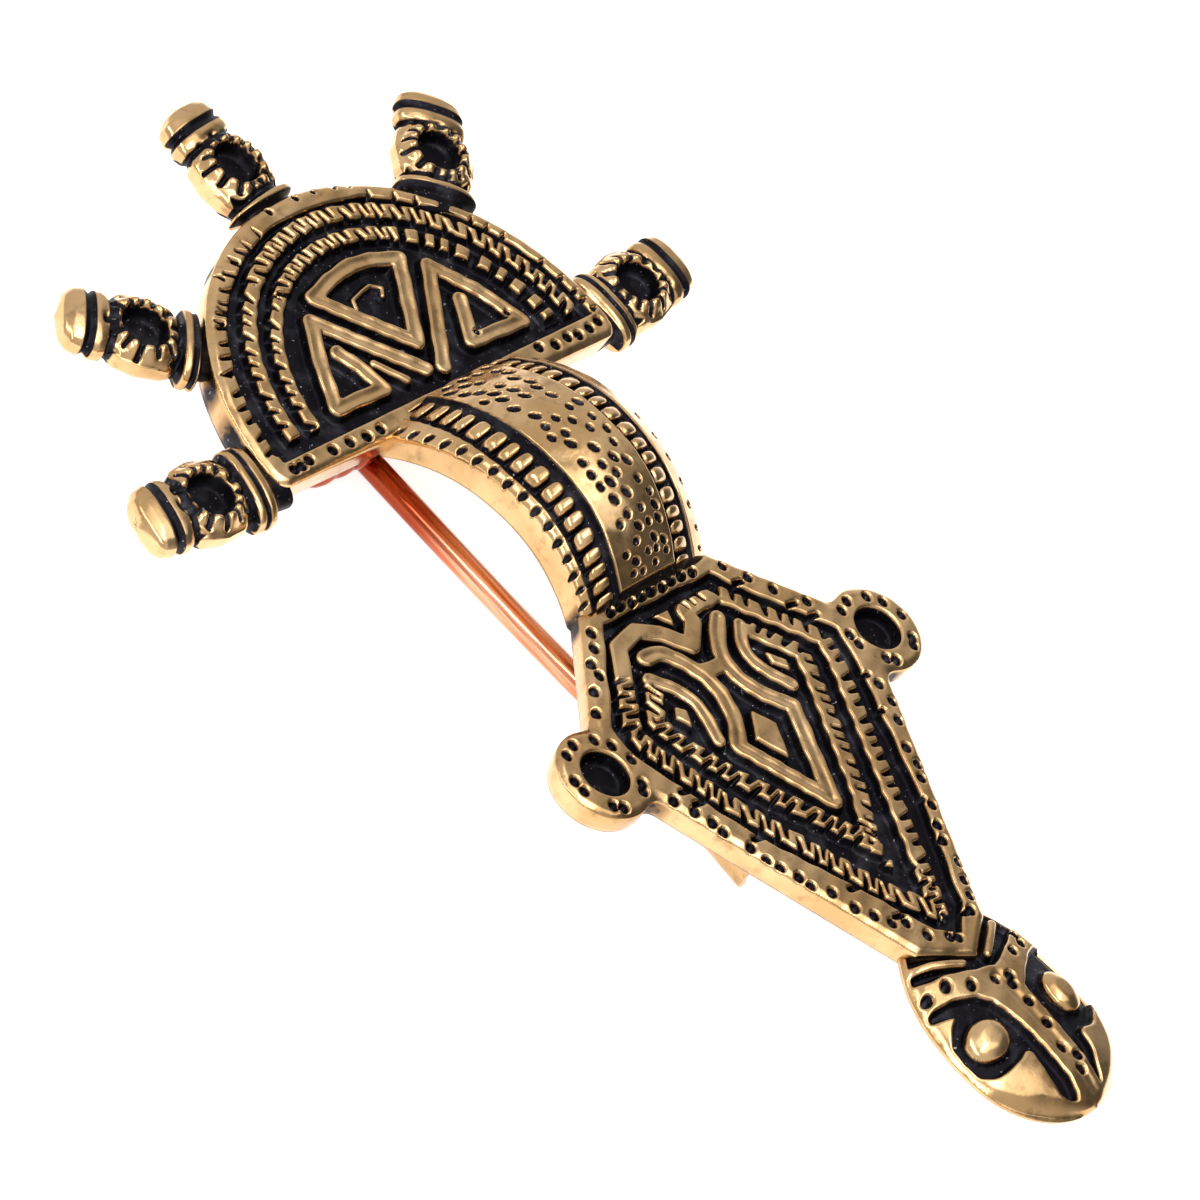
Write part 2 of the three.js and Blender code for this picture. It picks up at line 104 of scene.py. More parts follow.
def along_line(x, y, points):
    """Distance from a bent line, how far along it the nearest place is, and the side."""
    best = np.full(x.shape, 1e9)
    place = np.zeros(x.shape)
    side = np.zeros(x.shape)
    run = 0.0
    for (ax, ay), (bx, by) in zip(points, points[1:]):
        dx, dy = bx - ax, by - ay
        length = math.hypot(dx, dy)
        t = np.clip(((x - ax) * dx + (y - ay) * dy) / length ** 2, 0, 1)
        distance = np.hypot(x - ax - t * dx, y - ay - t * dy)
        nearer = distance < best
        best = np.where(nearer, distance, best)
        place = np.where(nearer, run + t * length, place)
        side = np.where(nearer, np.sign(dx * (y - ay) - dy * (x - ax)), side)
        run += length
    return best, place, side


def outside(x, y, points):
    """Signed distance from a closed outline: below 0 inside it."""
    distance, _, _ = along_line(x, y, points + points[:1])
    crossings = np.zeros(x.shape, int)
    for (ax, ay), (bx, by) in zip(points, points[1:] + points[:1]):
        if ay == by:
            continue
        level = (ay > y) != (by > y)
        crossings += level & (x < (bx - ax) * (y - ay) / (by - ay) + ax)
    return np.where(crossings % 2 == 1, -distance, distance)


def curved(points, rounds=3):
    """A bent line with its corners cut again and again until it is a smooth curve."""
    for _ in range(rounds):
        cut = [points[0]]
        for (ax, ay), (bx, by) in zip(points, points[1:]):
            cut += [((1 - t) * ax + t * bx, (1 - t) * ay + t * by) for t in (0.25, 0.75)]
        points = cut + [points[-1]]
    return points


# %% Bars, beaded bands and punched dots
SLOPE, HOLLOW, UNEVEN, NOTCH = 0.16, 0.05, 0.08, 0.45
# cuts across a band: where in the pitch, from which edge (1 or -1), half width at its
# closed and at its open end, and how far past the middle of the band it reaches
ZIGZAG = ((0.25, 1, 0.0, 0.09, 0.2), (0.75, -1, 0.0, 0.09, 0.2))
TEETH = ((0.5, 1, 0.0, 0.13, 0.1),)
SQUARES = ((0.5, 1, 0.11, 0.11, 0.7),)


def bar(x, y, points, width):
    """Depth round a raised bar. Its edges waver as a hand-held chisel does."""
    distance, _, _ = along_line(x, y, points)
    half = width / 2 * (1 + UNEVEN * waver(x, y, 1.7))
    return RELIEF * smooth((distance - half) / SLOPE)


def hollow(x, y, points, half):
    """Wear along the middle of a bar, which leaves its two edges standing."""
    distance, _, _ = along_line(x, y, points)
    return HOLLOW * smooth(1 - distance / half)


def nicks(along, across, width, pitch, cuts, slant=0.0):
    """Depth of cuts that come in from a band's edges at an uneven pace."""
    sway = np.sin(1.9 * along / pitch) + np.sin(0.83 * along + 2)
    cell = ((along + slant * across + 0.13 * pitch * sway) / pitch) % 1
    depth = np.zeros(along.shape)
    for phase, edge, narrow, wide, past in cuts:
        off = np.abs(cell - phase) * pitch
        reach = edge * across / width + past + 0.07 * np.sin(2.3 * along)
        half = narrow + (wide - narrow) * np.clip(reach, 0, 1)
        cut = 0.5 * (1 - smooth((off - half) / 0.09)) * smooth((reach + 0.06) / 0.14)
        depth = np.maximum(depth, cut)
    return depth


def beaded(along, across, width, pitch, cuts, slant=0.0):
    """Depth of a raised band with cuts across it, and of the floor beside it."""
    edge = (np.abs(across) - width / 2 * (1 + UNEVEN * np.sin(5.3 * along))) / SLOPE
    return np.maximum(nicks(along, across, width, pitch, cuts, slant), RELIEF * smooth(edge))


def punch(depth, x, y, spots, radius=0.2, deep=0.4, long=1.0, turn=0.0):
    """Dots struck with a round point, or with a slanted one where long is over 1."""
    c, s = math.cos(math.radians(turn)), math.sin(math.radians(turn))
    for px, py in spots:
        u = ((x - px) * c + (y - py) * s) / long
        v = (y - py) * c - (x - px) * s
        depth = np.maximum(depth, deep * (1 - smooth((np.hypot(u, v) - radius + 0.02) / 0.09)))
    return depth


# %% [markdown]
# ## From an outline to a carved plate
# A plate starts as a flat grid over its box. What lies outside the outline is
# deleted, the grid's border is drawn on to the outline, the border is extruded down
# for the wall, and the last loop is filled for the back. A boolean with a prism would
# leave slivers at the rim.

# %% A grid cut to an outline
GRID = 0.062
SMUDGE = 0.2


def coordinates(bm):
    return np.array([v.co for v in bm.verts]).T


def slope_of(line, x, y, step=0.01):
    """The way straight out of the outline at each place."""
    gx = line(x + step, y) - line(x - step, y)
    gy = line(x, y + step) - line(x, y - step)
    size = np.maximum(np.hypot(gx, gy), 1e-9)
    return gx / size, gy / size


def trimmed_grid(line, low, high, step=GRID):
    bm = bmesh.new()
    count = [max(2, round((high[i] - low[i]) / step)) for i in (0, 1)]
    bmesh.ops.create_grid(bm, x_segments=count[0], y_segments=count[1], size=0.5)
    bmesh.ops.scale(bm, verts=bm.verts, vec=(high[0] - low[0], high[1] - low[1], 1))
    bmesh.ops.translate(bm, verts=bm.verts, vec=((low[0] + high[0]) / 2, (low[1] + high[1]) / 2, 0))
    x, y, _ = coordinates(bm)
    inside = line(x, y) < -0.3 * step
    waste = [f for f in bm.faces if not any(inside[v.index] for v in f.verts)]
    bmesh.ops.delete(bm, geom=waste, context="FACES")
    bm.verts.index_update()
    x, y, _ = coordinates(bm)
    border = line(x, y) >= -0.3 * step
    for _ in range(3):
        distance = line(x, y)
        gx, gy = slope_of(line, x, y)
        x = np.where(border, x - distance * gx, x)
        y = np.where(border, y - distance * gy, y)
    for v, vx, vy in zip(bm.verts, x, y):
        v.co.x, v.co.y = vx, vy
    return bm


def walls_and_back(bm, line, levels, smudges=()):
    """Extrudes the border down through levels of (height, how far in from the outline).
    Smudges are (x, y, radius) of patina that was never rubbed off the wall, and
    SMUDGE is how dark they are in the middle."""
    layer = bm.verts.layers.float["recess"]
    rim = [e for e in bm.edges if e.is_boundary]
    for height, inset in levels:
        made = bmesh.ops.extrude_edge_only(bm, edges=rim)["geom"]
        verts = [g for g in made if isinstance(g, bmesh.types.BMVert)]
        rim = [g for g in made if isinstance(g, bmesh.types.BMEdge) and g.is_boundary]
        x, y, _ = np.array([v.co for v in verts]).T
        gx, gy = slope_of(line, x, y)
        move = line(x, y) + inset
        for v, vx, vy in zip(verts, x - move * gx, y - move * gy):
            near = [1 - math.hypot(vx - sx, vy - sy) / r for sx, sy, r in smudges]
            v.co = (vx, vy, height)
            v[layer] = SMUDGE * max([0.0] + near)
    bmesh.ops.edgeloop_fill(bm, edges=rim)


# %% Turning a carved mesh into a piece of the brooch
def rub(bm, rounds=2):
    """Rounds the ridges a little, as tumbling and polishing do. The border stays."""
    inner = [v for v in bm.verts if not v.is_boundary]
    for _ in range(rounds):
        bmesh.ops.smooth_vert(bm, verts=inner, factor=0.5, use_axis_x=False, use_axis_y=False,
                              use_axis_z=True)


def carve(bm, cut_at, worn_at):
    """Sinks the face by its cut depth and its wear, and keeps the depth as an attribute."""
    layer = bm.verts.layers.float.new("recess")
    x, y, _ = coordinates(bm)
    for v, cut, worn in zip(bm.verts, cut_at(x, y), worn_at(x, y)):
        v[layer] = cut
        v.co.z = -cut - worn
    rub(bm)


def close_up(bm):
    """Joins a wrapped grid's seam and fills its two ends."""
    bmesh.ops.remove_doubles(bm, verts=bm.verts, dist=1e-4)
    bmesh.ops.holes_fill(bm, edges=[e for e in bm.edges if e.is_boundary], sides=0)


def wrap(bm, x, y, z, cut):
    """Moves a grid's points to their places round a piece, and closes it."""
    layer = bm.verts.layers.float.new("recess")
    for v, vx, vy, vz, depth in zip(bm.verts, x, y, z, cut):
        v.co = (vx, vy, vz)
        v[layer] = depth
    close_up(bm)


def made_object(bm, name, material):
    mesh = bpy.data.meshes.new(name)
    bm.to_mesh(mesh)
    bm.free()
    mesh.materials.append(material)
    made = bpy.data.objects.new(name, mesh)
    bpy.context.scene.collection.objects.link(made)
    return made


def finish_piece(bm, name, material, turn=Matrix.Identity(4), body="brooch",
                 stand_in="casting"):
    """Puts a piece in its place in the frame, gives it its body and its material, and hides its stand-in."""
    bmesh.ops.recalc_face_normals(bm, faces=bm.faces)
    if bm.calc_volume(signed=True) < 0:
        bmesh.ops.reverse_faces(bm, faces=bm.faces)
    bm.transform(TO_FRAME @ turn)
    piece = made_object(bm, name, material)
    piece.data.shade_smooth()
    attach(piece, body)
    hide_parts(stand_in)
    print(name, len(piece.data.polygons), "faces")


def plate(name, line, low, high, carving, levels, turn, smudges=(), step=GRID):
    """A carved plate; carving holds its two functions, for the cuts and for the wear."""
    bm = trimmed_grid(line, low, high, step)
    carve(bm, *carving)
    walls_and_back(bm, line, levels, smudges)
    finish_piece(bm, name, BRONZE, turn)


# %% [markdown]
# ## Two metals
# The casting is a warm gold-bronze, polished by hand. A blue-black patina was left
# in every recess and rubbed off the ridges. It could be painted, or found from how
# pointed the mesh is, but the carving's own depth is already known, so the mask is
# that depth with its edge broken up a little by noise. The wire is plain drawn copper.

# %% Helpers for shader nodes
def feed(tree, made, fed):
    """For each named socket of a node: links an output to it, or sets a plain value."""
    for label, value in fed.items():
        if isinstance(value, bpy.types.NodeSocket):
            tree.links.new(value, made.inputs[label])
        else:
            made.inputs[label].default_value = value


def node(tree, kind, fed=(), **settings):
    made = tree.nodes.new(kind)
    for key, value in settings.items():
        setattr(made, key, value)
    feed(tree, made, dict(fed))
    return made


def noise(tree, vector, scale, detail=3.0, rough=0.55):
    fed = {"Vector": vector, "Scale": scale, "Detail": detail, "Roughness": rough}
    return node(tree, "ShaderNodeTexNoise", fed).outputs["Fac"]


def spread(tree, value, low, high, to_low=0.0, to_high=1.0):
    """Maps low..high to to_low..to_high, without going past them."""
    fed = {"Value": value, "From Min": low, "From Max": high, "To Min": to_low, "To Max": to_high}
    return node(tree, "ShaderNodeMapRange", fed, interpolation_type="SMOOTHSTEP").outputs["Result"]


def maths(tree, operation, *values):
    return node(tree, "ShaderNodeMath", enumerate(values), operation=operation).outputs[0]


def blend(tree, amount, first, second, kind="RGBA"):
    fed = {"Factor": amount, "A": first, "B": second}
    return node(tree, "ShaderNodeMix", fed, data_type=kind).outputs["Result"]


def bumped(tree, height, strength, distance):
    fed = {"Height": height, "Strength": strength, "Distance": distance}
    return node(tree, "ShaderNodeBump", fed).outputs["Normal"]


def group(name, takes, gives):
    """A shader node group with named sockets; takes holds (name, socket type, default)."""
    tree = bpy.data.node_groups.new(name, "ShaderNodeTree")
    for label, kind, default in takes:
        socket = tree.interface.new_socket(label, in_out="INPUT", socket_type=kind)
        socket.default_value = default
    for label in gives:
        tree.interface.new_socket(label, in_out="OUTPUT", socket_type="NodeSocketFloat")
    return tree, tree.nodes.new("NodeGroupInput").outputs, tree.nodes.new("NodeGroupOutput")


# %% The patina's node group
def patina_group():
    tree, given, out = group(
        "Patina in the recesses",
        [("Recess", "NodeSocketFloat", 0.0), ("Place", "NodeSocketVector", (0, 0, 0)),
         ("From", "NodeSocketFloat", 0.07), ("To", "NodeSocketFloat", 0.15)],
        ["Mask", "Specks"],
    )
    ragged = noise(tree, given["Place"], 2600, 4)
    shaken = maths(tree, "ADD", given["Recess"], maths(tree, "MULTIPLY_ADD", ragged, 0.14, -0.07))
    fine = noise(tree, given["Place"], 5200, 1, 0.4)
    feed(tree, out, {"Mask": spread(tree, shaken, given["From"], given["To"]),
                     "Specks": spread(tree, fine, 0.71, 0.78)})
    return tree


PATINA = patina_group()
print("group", PATINA.name)


# %% The bronze
GOLD = (0.50, 0.305, 0.135, 1)
GOLD_PALE = (0.64, 0.42, 0.21, 1)
SOOT = (0.010, 0.009, 0.012, 1)
SOOT_GREY = (0.034, 0.033, 0.040, 1)
SOOT_SPECK = (0.25, 0.24, 0.26, 1)
BROWN = (0.17, 0.085, 0.035, 1)


def principled(name):
    material = bpy.data.materials.new(name)
    material.use_nodes = True
    tree = material.node_tree
    return material, tree, tree.nodes["Principled BSDF"]


def bronze_material():
    material, tree, shader = principled("polished bronze")
    place = node(tree, "ShaderNodeTexCoord").outputs["Object"]
    recess = node(tree, "ShaderNodeAttribute", attribute_name="recess").outputs["Fac"]
    patina = node(tree, "ShaderNodeGroup", node_tree=PATINA)
    feed(tree, patina, {"Recess": recess, "Place": place})
    mask = patina.outputs["Mask"]
    cloudy = noise(tree, place, 260, 3)
    metal = blend(tree, spread(tree, cloudy, 0.35, 0.65), GOLD, GOLD_PALE)
    stained = spread(tree, noise(tree, place, 1100, 5), 0.5, 0.8, 0.0, 0.55)
    halo = maths(tree, "MAXIMUM", spread(tree, recess, 0.004, 0.09, 0.0, 0.8), stained)
    metal = blend(tree, halo, metal, BROWN)
    sooty = blend(tree, spread(tree, noise(tree, place, 700, 3), 0.45, 0.7), SOOT, SOOT_GREY)
    dark = blend(tree, patina.outputs["Specks"], sooty, SOOT_SPECK)
    scratch = noise(tree, place, 1500, 3)
    polish = spread(tree, scratch, 0.3, 0.7, 0.13, 0.26)
    feed(tree, shader, {
        "Base Color": blend(tree, mask, metal, dark),
        "Metallic": 1,
        "Roughness": blend(tree, mask, polish, 0.5, "FLOAT"),
        "Normal": bumped(tree, scratch, 0.25, 0.00006),
    })
    return material


BRONZE = bronze_material()
print("finish", BRONZE.name)

# %% [markdown]
# ## Head plate
# A half disc whose rim stands up like a frame. Inside it two beaded bands follow the
# arc, and three bent bars make a row of triangles. Each could be a piece of its own,
# laid on a plain disc, but one grid lets bands, bars and rim share one floor, as they
# do where a chisel cleared it.

# %% The head plate's outline and carving
ARC_Y, ARC_R = 1.08, 12.27
HEAD_BASE_HALF, CORNER = 12.0, 0.55
RIM_WIDTH, BASE_BAR = 1.05, 1.12
BAR = 0.78
LEFT_HOOK = [(0.05, 2.45), (-3.92, 7.0), (-5.15, 4.9), (-6.25, 2.45), (-2.95, 2.4), (-3.3, 3.9), (-3.85, 5.0)]
RIGHT_HOOK = [(1.15, 2.2), (4.72, 7.2), (6.3, 5.0), (7.35, 2.62), (3.75, 2.75), (4.95, 4.95)]
MIDDLE = [(0.78, 3.85), (3.45, 8.15), (2.0, 8.62), (0.6, 8.8), (-1.1, 8.55), (-2.85, 8.0), (0.78, 3.85)]
SHORT_BAR = [(-2.45, 3.75), (-1.35, 2.3)]
SQUIGGLE = [(-0.8, 6.6), (-0.6, 7.2), (0.3, 7.45), (0.9, 7.55), (1.5, 7.2), (1.2, 6.8)]
BASE_DOTS = [(-10.9, 0.6), (-10.4, 0.6), (-9.8, 0.7), (-8.2, 0.65), (-7.0, 0.65), (-5.9, 0.55),
             (-4.9, 0.6), (-11.1, 1.75), (7.0, 1.0), (8.0, 0.75), (9.0, 0.85), (9.7, 0.7),
             (10.6, 0.8), (11.4, 0.95)]
RIM_DOTS = [(0.5, 13.05), (1.75, 13.05), (3.05, 12.85), (3.95, 12.65), (-1.5, 12.9), (7.6, 10.95),
            (11.45, 6.1)]
HOOK_DOTS = [(4.35, 3.05), (6.85, 3.3)]
HEAD_BARS = ((LEFT_HOOK, BAR), (RIGHT_HOOK, BAR), (MIDDLE, BAR), (SHORT_BAR, 0.36), (SQUIGGLE, 0.13))
# the two bands: their arc's middle x and y, its radius, the width, the cuts' pitch, and
# the angle from which on squares are cut (the outer band has none)
HEAD_BANDS = ((0.45, 1.6, 10.05, 0.8, 1.02, math.pi), (0.45, 1.7, 8.6, 0.7, 0.98, 0.45))
BANDS_END, TOOTHED_TO = 2.0, -0.62
# notches across the rim: compass angle about the arc's middle, and from where to
# where they reach, with 0 at the rim's inner edge and 1 at its outer edge
RIM_NOTCHES = [(-64, 0.3, 0.9), (-48.7, 0.2, 0.9), (-44.6, 0, 1), (-35, 0.5, 0.9), (-28, 0.2, 1),
               (-21.3, 0, 0.8), (-15.5, 0.1, 0.7), (23.2, 0, 0.7), (30.3, 0, 1), (36.1, 0, 0.8),
               (43, 0.1, 0.8), (50.9, 0, 0.8), (55.2, 0, 1), (59.6, 0, 1), (70.7, 0, 1),
               (76.7, 0, 1), (81.2, 0, 0.6), (84.1, 0, 0.8), (87.3, 0.2, 1)]
RIM_CUTS_FROM_Y = 1.4
HEAD_SMUDGES = [(-12.0, 3.4, 1.6), (-11.4, 6.2, 1.1), (-6.5, 11.5, 0.9)]


def head_line(x, y):
    below, beside = -y, np.abs(x) - HEAD_BASE_HALF - 0.25 * y
    corner = np.hypot(below + CORNER, beside + CORNER) - CORNER
    straight = np.where((below > -CORNER) & (beside > -CORNER), corner, np.maximum(below, beside))
    return np.maximum(np.hypot(x, y - ARC_Y) - ARC_R, straight)


def head_bands(x, y, depth):
    """The two arcs: toothed at the left, zigzag at the top, squares at the inner one's right."""
    for cx, cy, r, width, pitch, squares_from in HEAD_BANDS:
        angle = np.arctan2(x - cx, y - cy)
        across = np.hypot(x - cx, y - cy) - r
        band = beaded(angle * r, across, width, pitch, ZIGZAG, 0.3)
        toothed = beaded(angle * r, across + 0.03, width * 0.88, 0.84, TEETH, -0.25)
        squares = beaded(angle * r, across, width, 0.98, SQUARES)
        band = np.where(angle < TOOTHED_TO, toothed, band)
        band = np.where(angle > squares_from, squares, band)
        depth = np.minimum(depth, np.maximum(band, RELIEF * smooth((BANDS_END - y) / SLOPE)))
    return depth


def head_rim_cuts(depth, turn, share, rim_width, y):
    """Teeth along the rim's left, and single notches. share is 0 at its inner edge, 1 outside."""
    teeth = nicks(turn * ARC_R, (0.4 - share) * rim_width, rim_width, 0.95, TEETH, -0.4)
    in_rim = (y > RIM_CUTS_FROM_Y) & (share > -0.1 / rim_width)
    depth = np.maximum(depth, teeth * smooth((-0.35 - turn) / 0.1) * in_rim)
    for at, low, high in RIM_NOTCHES:
        off = np.abs(np.degrees(turn) - at) * math.radians(ARC_R) + 0.25 * (share - low)
        reach = np.maximum(low - share, share - min(high, 0.86))
        notch = NOTCH * (1 - smooth((off - 0.06) / 0.1)) * (1 - smooth((reach - 0.02) / 0.12))
        depth = np.where(y > RIM_CUTS_FROM_Y, np.maximum(depth, notch), depth)
    return depth


def head_cut(x, y):
    inside = ARC_R - np.hypot(x, y - ARC_Y)
    turn = np.arctan2(x, y - ARC_Y)
    rim_width = RIM_WIDTH - 0.3 * smooth((turn - 0.05) / 0.4)
    base = BASE_BAR + 0.015 * (x + 9)
    field = np.minimum(inside - rim_width - 0.05 * waver(x, y), y - base)
    depth = head_bands(x, y, RELIEF * smooth(field / SLOPE))
    for points, width in HEAD_BARS:
        depth = np.minimum(depth, bar(x, y, points, width))
    depth = head_rim_cuts(depth, turn, 1 - inside / rim_width, rim_width, y)
    depth = punch(depth, x, y, BASE_DOTS, 0.2, 0.42, 1.15, 20)
    depth = punch(depth, x, y, RIM_DOTS, 0.14, 0.36)
    return punch(depth, x, y, HOOK_DOTS, 0.13, 0.3)


def edge_wear(inside, deep, reach=0.4):
    """The rounding of a plate's upper edge, from the distance inside its outline."""
    return deep * np.clip(1 - inside / reach, 0, 1) ** 2


def head_worn(x, y):
    worn = edge_wear(-head_line(x, y), 0.2)
    for points in (LEFT_HOOK, RIGHT_HOOK, MIDDLE):
        worn = worn + hollow(x, y, points, BAR * 0.42)
    distance, _, _ = along_line(x, y, SQUIGGLE)
    return worn + 0.3 * smooth(1 - distance / 0.3) + 0.02 * waver(x, y, 1.3)


# %% Build the head plate
plate("head_plate", head_line, (-ARC_R - GRID, -GRID), (ARC_R + GRID, ARC_Y + ARC_R + GRID),
      (head_cut, head_worn), ((-0.5, 0.0), (-1.3, 0.02), (-1.8, 0.12), (-HEAD_THICK, 0.4)),
      HEAD_TURN, HEAD_SMUDGES)

# %% [markdown]
# ## Foot plate
# A lozenge with a round lobe at each side corner. Each lobe holds a deep socket, the
# rim is punched all round, and two beaded bands frame a pair of eye curves and a
# little lozenge. The lobes could be discs joined on, but the wax flowed into them, so
# the outline itself melts plate and lobes together, and one grid is cut as before.

# %% The foot plate's outline and carving
FOOT_OUTLINE = [(4.6, -12.6), (8.7, -17.4), (9.5, -20.0), (8.3, -22.9), (2.5, -34.6), (0.4, -36.1),
                (-2.6, -34.6), (-8.3, -22.9), (-9.5, -20.0), (-8.7, -17.4), (-4.6, -12.6)]
FOOT_FIELD = [(-3.9, -13.5), (-8.0, -18.2), (-8.2, -19.3), (-7.9, -20.5), (-6.4, -24.0), (-5.2, -26.5),
              (-3.0, -30.0), (-0.7, -34.0), (0.6, -34.8), (2.0, -33.5), (4.6, -28.5), (6.4, -24.0),
              (7.6, -21.0), (8.1, -19.0), (7.6, -18.3), (4.8, -14.8), (4.0, -13.6)]
LOBE_X, LOBE_Y, LOBE_R = 10.27, -19.94, 2.45
SOCKET_R, SOCKET_DEPTH, FILLET = 1.17, 0.85, 0.9
BAND = 0.9
OUTER_BAND = [(0.4, -33.4), (-1.5, -31.1), (-5.4, -24.0), (-7.0, -19.9), (-7.05, -18.8), (-4.1, -14.85),
              (-2.5, -14.5), (-1.35, -15.2), (-0.3, -16.4), (0.85, -15.4), (0.9, -14.7), (3.4, -14.7),
              (5.8, -17.7), (6.9, -19.1), (6.5, -20.5), (2.4, -29.3), (0.4, -33.4)]
INNER_BAND = [(-4.0, -17.3), (-5.5, -18.9), (-5.2, -20.2), (-3.9, -23.0), (0.05, -28.9), (1.6, -26.7),
              (4.6, -20.5), (5.1, -19.2), (3.4, -17.0)]
EYE_LEFT = curved([(-4.0, -16.9), (-2.95, -18.0), (-2.55, -19.3), (-3.15, -21.1)])
EYE_RIGHT = curved([(3.15, -16.6), (2.25, -17.6), (2.15, -18.8), (3.15, -20.4)])
ARM_LEFT = curved([(-3.2, -15.9), (-2.1, -16.0), (-1.1, -17.6), (-0.85, -19.2), (-1.5, -20.8), (-2.4, -21.8)])
ARM_LEFT += [(0.0, -26.3)]
ARM_RIGHT = curved([(2.3, -15.8), (1.1, -16.9), (0.5, -18.2), (1.0, -19.9), (2.2, -21.3)]) + [(0.0, -26.3)]
BRIDGE = [(-1.0, -17.8), (0.55, -17.95)]
FLATS = [[(-0.2, -20.6), (-1.2, -21.9), (-0.35, -23.4), (0.5, -21.7)],
         [(-3.9, -18.7), (-4.3, -19.2), (-3.9, -19.9), (-3.5, -19.1)],
         [(3.2, -18.4), (3.1, -19.0), (3.7, -19.7), (3.9, -19.2)],
         [(-0.9, -14.3), (-0.3, -15.1), (0.05, -14.3)],
         [(-0.35, -29.3), (0.05, -29.7), (0.5, -29.3), (0.1, -29.05)],
         [(-0.2, -30.2), (0.05, -30.45), (0.25, -30.15), (0.05, -30.05)]]
FOOT_SMUDGES = [(-9.2, -22.4, 1.3), (-4.9, -12.8, 1.0), (9.2, -22.4, 1.0), (-1.2, -35.4, 0.8)]
FOOT_NOTCHES = [(5.0, -14.7), (6.8, -16.9), (7.4, -17.9), (7.3, -21.7), (6.4, -23.6), (4.4, -28.3),
                (1.7, -34.1), (-7.2, -22.5), (-7.0, -23.3), (-5.6, -26.1), (-3.0, -30.4),
                (-1.9, -32.6)]
# each line of dots along the rim: their pitch, how far they stray, a seed, the line
RIM_LINES = [(0.95, 0.22, 3, [(-4.7, -13.4), (-6.3, -15.4), (-8.3, -17.4)]),
             (0.9, 0.22, 5, [(-8.4, -22.2), (-6.2, -26.6), (-4.6, -29.9), (-2.8, -32.2), (-0.8, -34.5),
                             (0.4, -35.3)]),
             (1.35, 0.15, 8, [(4.5, -13.3), (6.3, -15.5), (8.0, -17.3)]),
             (1.1, 0.25, 9, [(7.9, -21.9), (7.1, -24.2), (5.7, -27.2), (3.6, -31.3), (2.3, -33.9),
                             (1.5, -34.8)])]


def lobe_distance(x, y):
    return np.hypot(np.abs(x) - LOBE_X, y - LOBE_Y)


def foot_line(x, y):
    plate, lobe = outside(x, y, FOOT_OUTLINE), lobe_distance(x, y) - LOBE_R
    near = np.clip(1 - np.abs(plate - lobe) / FILLET, 0, 1)
    return np.minimum(plate, lobe) - FILLET / 4 * near ** 2


def dots_along(pitch, sway, seed, points):
    """Places for punched dots, a hand's pace apart and a little off the line."""
    rng = random.Random(seed)
    spots = []
    for (ax, ay), (bx, by) in zip(points, points[1:]):
        length = math.hypot(bx - ax, by - ay)
        count = max(1, round(length / pitch))
        for i in range(count):
            t = (i + 0.5 + rng.uniform(-0.25, 0.25)) / count
            off = rng.uniform(-sway, sway)
            spots.append((ax + t * (bx - ax) - off * (by - ay) / length,
                          ay + t * (by - ay) + off * (bx - ax) / length))
    return spots


def lobe_dots(side, count=11):
    spots = []
    for i in range(count):
        a = 2 * math.pi * (i + 0.3 * math.sin(3.0 * i)) / count
        r = 1.88 + 0.08 * math.sin(5.0 * i)
        spots.append((side * LOBE_X + r * math.cos(a), LOBE_Y + r * math.sin(a)))
    return spots


FOOT_DOTS = [spot for line in RIM_LINES for spot in dots_along(*line)] + lobe_dots(-1) + lobe_dots(1)
FOOT_BARS = ((EYE_LEFT, 0.66), (EYE_RIGHT, 0.66), (ARM_LEFT, 0.86), (ARM_RIGHT, 0.86), (BRIDGE, 0.85))
PLAIN_AT, PLAIN_HALF = 24.0, 4.0
GROOVE_Y, GROOVE_END = -12.45, 4.4
CROSSBAR_DOTS = [(-3.0 + 0.75 * i, -13.15 + 0.08 * math.sin(2.2 * i)) for i in range(9)]


def foot_bands(x, y, depth):
    """The outer band is plain where it bends round the top. Both have teeth at the right."""
    distance, place, side = along_line(x, y, OUTER_BAND)
    cut = smooth((np.abs(place - PLAIN_AT) - PLAIN_HALF) / 1.5)
    zigzag = beaded(place, distance * side, BAND, 0.92, ZIGZAG, 0.4)
    toothed = beaded(place, distance * side, BAND, 0.8, TEETH, 0.3)
    plain = RELIEF * smooth((distance - BAND / 2) / SLOPE)
    depth = np.minimum(depth, np.where(x > 1.2, toothed, zigzag) * cut + plain * (1 - cut))
    distance, place, side = along_line(x, y, INNER_BAND)
    toothed = beaded(place, -distance * side, BAND, 0.74, TEETH, 0.3)
    zigzag = beaded(place, distance * side, BAND, 0.9, ZIGZAG, -0.35)
    return np.minimum(depth, np.where(x > 0.6, toothed, zigzag))


